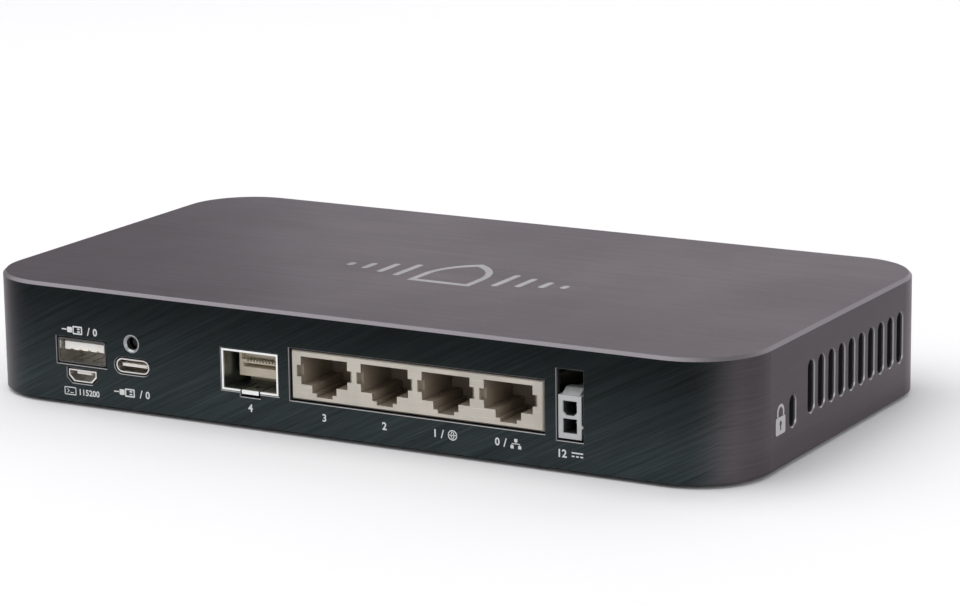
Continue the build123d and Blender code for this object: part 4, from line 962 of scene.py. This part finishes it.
class APPLIANCE_OT_port_marks(bpy.types.Operator):
    """Prints numbers and plain signs beside the ports"""

    bl_idname = "appliance.port_marks"
    bl_label = "Port Marks"

    def execute(self, context):
        marks = context.scene.appliance_marks
        ink = ink_finish("white_ink", tuple(marks.ink_colour))
        numbers, signs = [], []
        thickness = 2 * marks.film

        def print_row(x, z, *entries):
            """Prints digits and signs side by side: an entry holds one, its offset from x and its height."""
            for mark, offset, height in entries:
                if isinstance(mark, str):
                    shape = solid_shape(number_curve(mark), thickness)
                    numbers.append(fitted(shape, (x + offset, z), height))
                else:
                    points, faces = solid_shape(flat_curve(mark), thickness)
                    points[:, :2] = points[:, :2] * height + (x + offset, z)
                    signs.append((points, faces))

        digit, slash = marks.number_height, marks.sign_height
        jack_low, jack_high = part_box("jack_shield")
        row_z = jack_low.z - marks.row_drop
        first_x = (jack_low.x + jack_high.x) / 2 - 1.5 * SOCKET_PITCH
        print_row(middle_x("module_cage"), row_z, ("4", 0.0, digit))
        print_row(first_x, row_z, ("3", 0.0, digit))
        print_row(first_x + SOCKET_PITCH, row_z, ("2", 0.0, digit))
        print_row(
            first_x + 2 * SOCKET_PITCH, row_z,
            ("1", -2.6 * MM, digit), (slash_sign(), -0.8 * MM, slash), (globe_sign(), 1.7 * MM, 2.3 * MM),
        )
        print_row(
            first_x + 3 * SOCKET_PITCH, row_z,
            ("0", -2.6 * MM, digit), (slash_sign(), -0.7 * MM, slash), (branch_sign(), 1.9 * MM, 2.2 * MM),
        )
        print_row(
            middle_x("power_header"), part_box("power_header")[0].z - 3.2 * MM,
            ("12", -1.8 * MM, digit), (direct_current_sign(), 1.7 * MM, 1.5 * MM),
        )
        bus_row = (
            (data_plug_sign(), -1.7 * MM, 2.3 * MM), (slash_sign(), 2.2 * MM, slash), ("0", 4.0 * MM, digit)
        )
        print_row(middle_x("usb_a_shell"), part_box("usb_a_shell")[1].z + 2.1 * MM, *bus_row)
        print_row(middle_x("usb_c_shell"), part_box("usb_c_shell")[0].z - 3.5 * MM, *bus_row)
        print_row(
            middle_x("console_shell"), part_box("console_shell")[0].z - 2.3 * MM,
            (prompt_sign(), -3.4 * MM, marks.sign_height), ("115200", 1.9 * MM, marks.rate_height),
        )

        for name, shapes in (("port_numbers", numbers), ("port_signs", signs)):
            laid = on_wall(gathered(shapes), (1, 0, 0), (0, 0, 1), (0, -1, 0), (0, CASE_LOW.y, 0))
            piece = mesh_from(name, *laid, ink)
            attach(piece, "case")
        return {"FINISHED"}


class APPLIANCE_OT_lock_mark(bpy.types.Operator):
    """Prints a padlock beside the lock slot"""

    bl_idname = "appliance.lock_mark"
    bl_label = "Lock Mark"

    def execute(self, context):
        marks = context.scene.appliance_marks
        points, faces = solid_shape(flat_curve(padlock_sign()), 2 * marks.film)
        lock_low, lock_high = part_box("lock_plate")
        slot = (lock_low + lock_high) / 2
        middle = (slot.y + marks.lock_offset[0], slot.z + marks.lock_offset[1])
        points[:, :2] = points[:, :2] * marks.lock_height + middle
        laid = on_wall((points, faces), (0, 1, 0), (0, 0, 1), (1, 0, 0), (CASE_HIGH.x, 0, 0))
        piece = mesh_from("lock_sign", *laid, ink_finish("grey_ink", tuple(marks.lock_colour)))
        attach(piece, "case")
        return {"FINISHED"}


class APPLIANCE_OT_roof_emblem(bpy.types.Operator):
    """Etches a plain shield between bars into the roof, to be read from the far side"""

    bl_idname = "appliance.roof_emblem"
    bl_label = "Roof Emblem"

    def execute(self, context):
        marks = context.scene.appliance_marks
        points, faces = solid_shape(flat_curve(shield_sign()), 2 * marks.film)
        points[:, :2] *= marks.emblem_height
        middle = (*marks.emblem_place, CASE_HIGH.z)
        laid = on_wall((points, faces), (-1, 0, 0), (0, -1, 0), (0, 0, 1), middle)
        etched = brushed_metal(
            "etched_metal", (0.42, 0.41, 0.42), roughness=0.42, along=0, length=6 * MM, width=0.3 * MM,
            depth=0.2, contrast=0.10
        )
        piece = mesh_from("roof_emblem", *laid, etched)
        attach(piece, "case")
        return {"FINISHED"}


class APPLIANCE_OT_stage(bpy.types.Operator):
    """Sets the pale floor, the soft lights and the camera"""

    bl_idname = "appliance.stage"
    bl_label = "Studio"

    def execute(self, context):
        stage = context.scene.appliance_stage
        scene = context.scene
        scene.view_settings.view_transform = "Standard"

        material, graph, shader, place = new_finish("studio_floor")
        texture = grain(graph, place, 4 * MM)
        pale = tuple(stage.floor_colour)
        mottled = graph.mix(texture["Mottle"], lightened(pale, 0.99), lightened(pale, 1.01))
        graph.feed(shader["Base Color"], mottled)
        graph.feed(shader["Roughness"], 0.7)
        # the floor is level, and then rises in a smooth step, as a plain backdrop on every side
        level, slope, rise = 1.7, 1.5, 1.4
        radii = np.concatenate([[0.001, 0.5, 1.0], np.linspace(level, level + slope, 16)])
        step = np.clip((radii - level) / slope, 0, 1)
        revolved("floor", radii, rise * step**2 * (3 - 2 * step), 72, material)

        world = bpy.data.worlds.new("room")
        scene.world = world
        world.use_nodes = True
        background = world.node_tree.nodes["Background"]
        background.inputs["Color"].default_value = (*stage.world_colour, 1.0)
        background.inputs["Strength"].default_value = stage.world_strength

        self.soft_light("key", (-0.55, -0.28, 1.0), size=1.60, power=stage.key_power)
        self.soft_light("fill", (1.10, -0.50, 0.45), size=0.60, power=stage.fill_power)
        self.soft_light("back", (0.25, 1.10, 0.62), size=1.20, power=stage.back_power)
        self.soft_light("sheen", (-0.50, 1.05, 0.38), size=0.40, power=stage.sheen_power)

        camera = bpy.data.objects.new("camera", bpy.data.cameras.new("camera"))
        scene.collection.objects.link(camera)
        scene.camera = camera
        camera.data.lens = stage.lens
        camera.data.sensor_width = SENSOR_WIDTH
        sin_a, cos_a = math.sin(stage.azimuth), math.cos(stage.azimuth)
        sin_e, cos_e = math.sin(stage.elevation), math.cos(stage.elevation)
        back = np.array([sin_a * cos_e, -cos_a * cos_e, sin_e])
        right = np.array([cos_a, sin_a, 0.0])
        up = np.cross(back, right)
        turned_right = right * math.cos(stage.roll) + up * math.sin(stage.roll)
        turned_up = up * math.cos(stage.roll) - right * math.sin(stage.roll)
        place = turned_right * stage.offset[0] + turned_up * stage.offset[1] + back * stage.distance
        matrix = np.eye(4)
        matrix[:3, 0], matrix[:3, 1], matrix[:3, 2] = turned_right, turned_up, back
        matrix[:3, 3] = place + (0, 0, CASE_LOW.z)
        camera.matrix_world = matrix.T.tolist()
        return {"FINISHED"}

    def soft_light(self, name, place, size, power):
        """A square light that looks at the middle of the case."""
        light = bpy.data.lights.new(name, "AREA")
        light.size = size
        light.energy = power
        made = bpy.data.objects.new(name, light)
        bpy.context.scene.collection.objects.link(made)
        made.visible_camera = False
        made.location = place
        aim = (CASE_LOW + CASE_HIGH) / 2 - made.location
        made.rotation_euler = aim.to_track_quat("-Z", "Y").to_euler()


class APPLIANCE_PT_finishes(bpy.types.Panel):
    """Lists the steps that finish the appliance"""

    bl_idname = "APPLIANCE_PT_finishes"
    bl_label = "Firewall Appliance"
    bl_space_type = "VIEW_3D"
    bl_region_type = "UI"
    bl_category = PANEL_TAB

    def draw(self, context):
        for step in STEPS:
            self.layout.operator(step.bl_idname)
        for name in SETTINGS:
            box = self.layout.box()
            group = getattr(context.scene, name)
            for entry in group.bl_rna.properties:
                if not entry.is_readonly and entry.identifier != "name":
                    box.prop(group, entry.identifier)


STEPS = (
    APPLIANCE_OT_stage,
    APPLIANCE_OT_case,
    APPLIANCE_OT_network_jack,
    APPLIANCE_OT_module_bay,
    APPLIANCE_OT_bus_sockets,
    APPLIANCE_OT_reset,
    APPLIANCE_OT_power_inlet,
    APPLIANCE_OT_board,
    APPLIANCE_OT_status_lights,
    APPLIANCE_OT_port_marks,
    APPLIANCE_OT_lock_mark,
    APPLIANCE_OT_roof_emblem,
)
SETTINGS = {
    "appliance_case": CaseSettings,
    "appliance_marks": MarkSettings,
    "appliance_stage": StageSettings,
}


def register():
    for made in (*SETTINGS.values(), *STEPS, APPLIANCE_PT_finishes):
        bpy.utils.register_class(made)
    for name, group in SETTINGS.items():
        setattr(bpy.types.Scene, name, bpy.props.PointerProperty(type=group))


def unregister():
    for name in SETTINGS:
        delattr(bpy.types.Scene, name)
    for made in reversed((*SETTINGS.values(), *STEPS, APPLIANCE_PT_finishes)):
        bpy.utils.unregister_class(made)


def main():
    register()
    for step in STEPS:
        group, name = step.bl_idname.split(".")
        getattr(getattr(bpy.ops, group), name)()


if __name__ == "__main__":
    main()
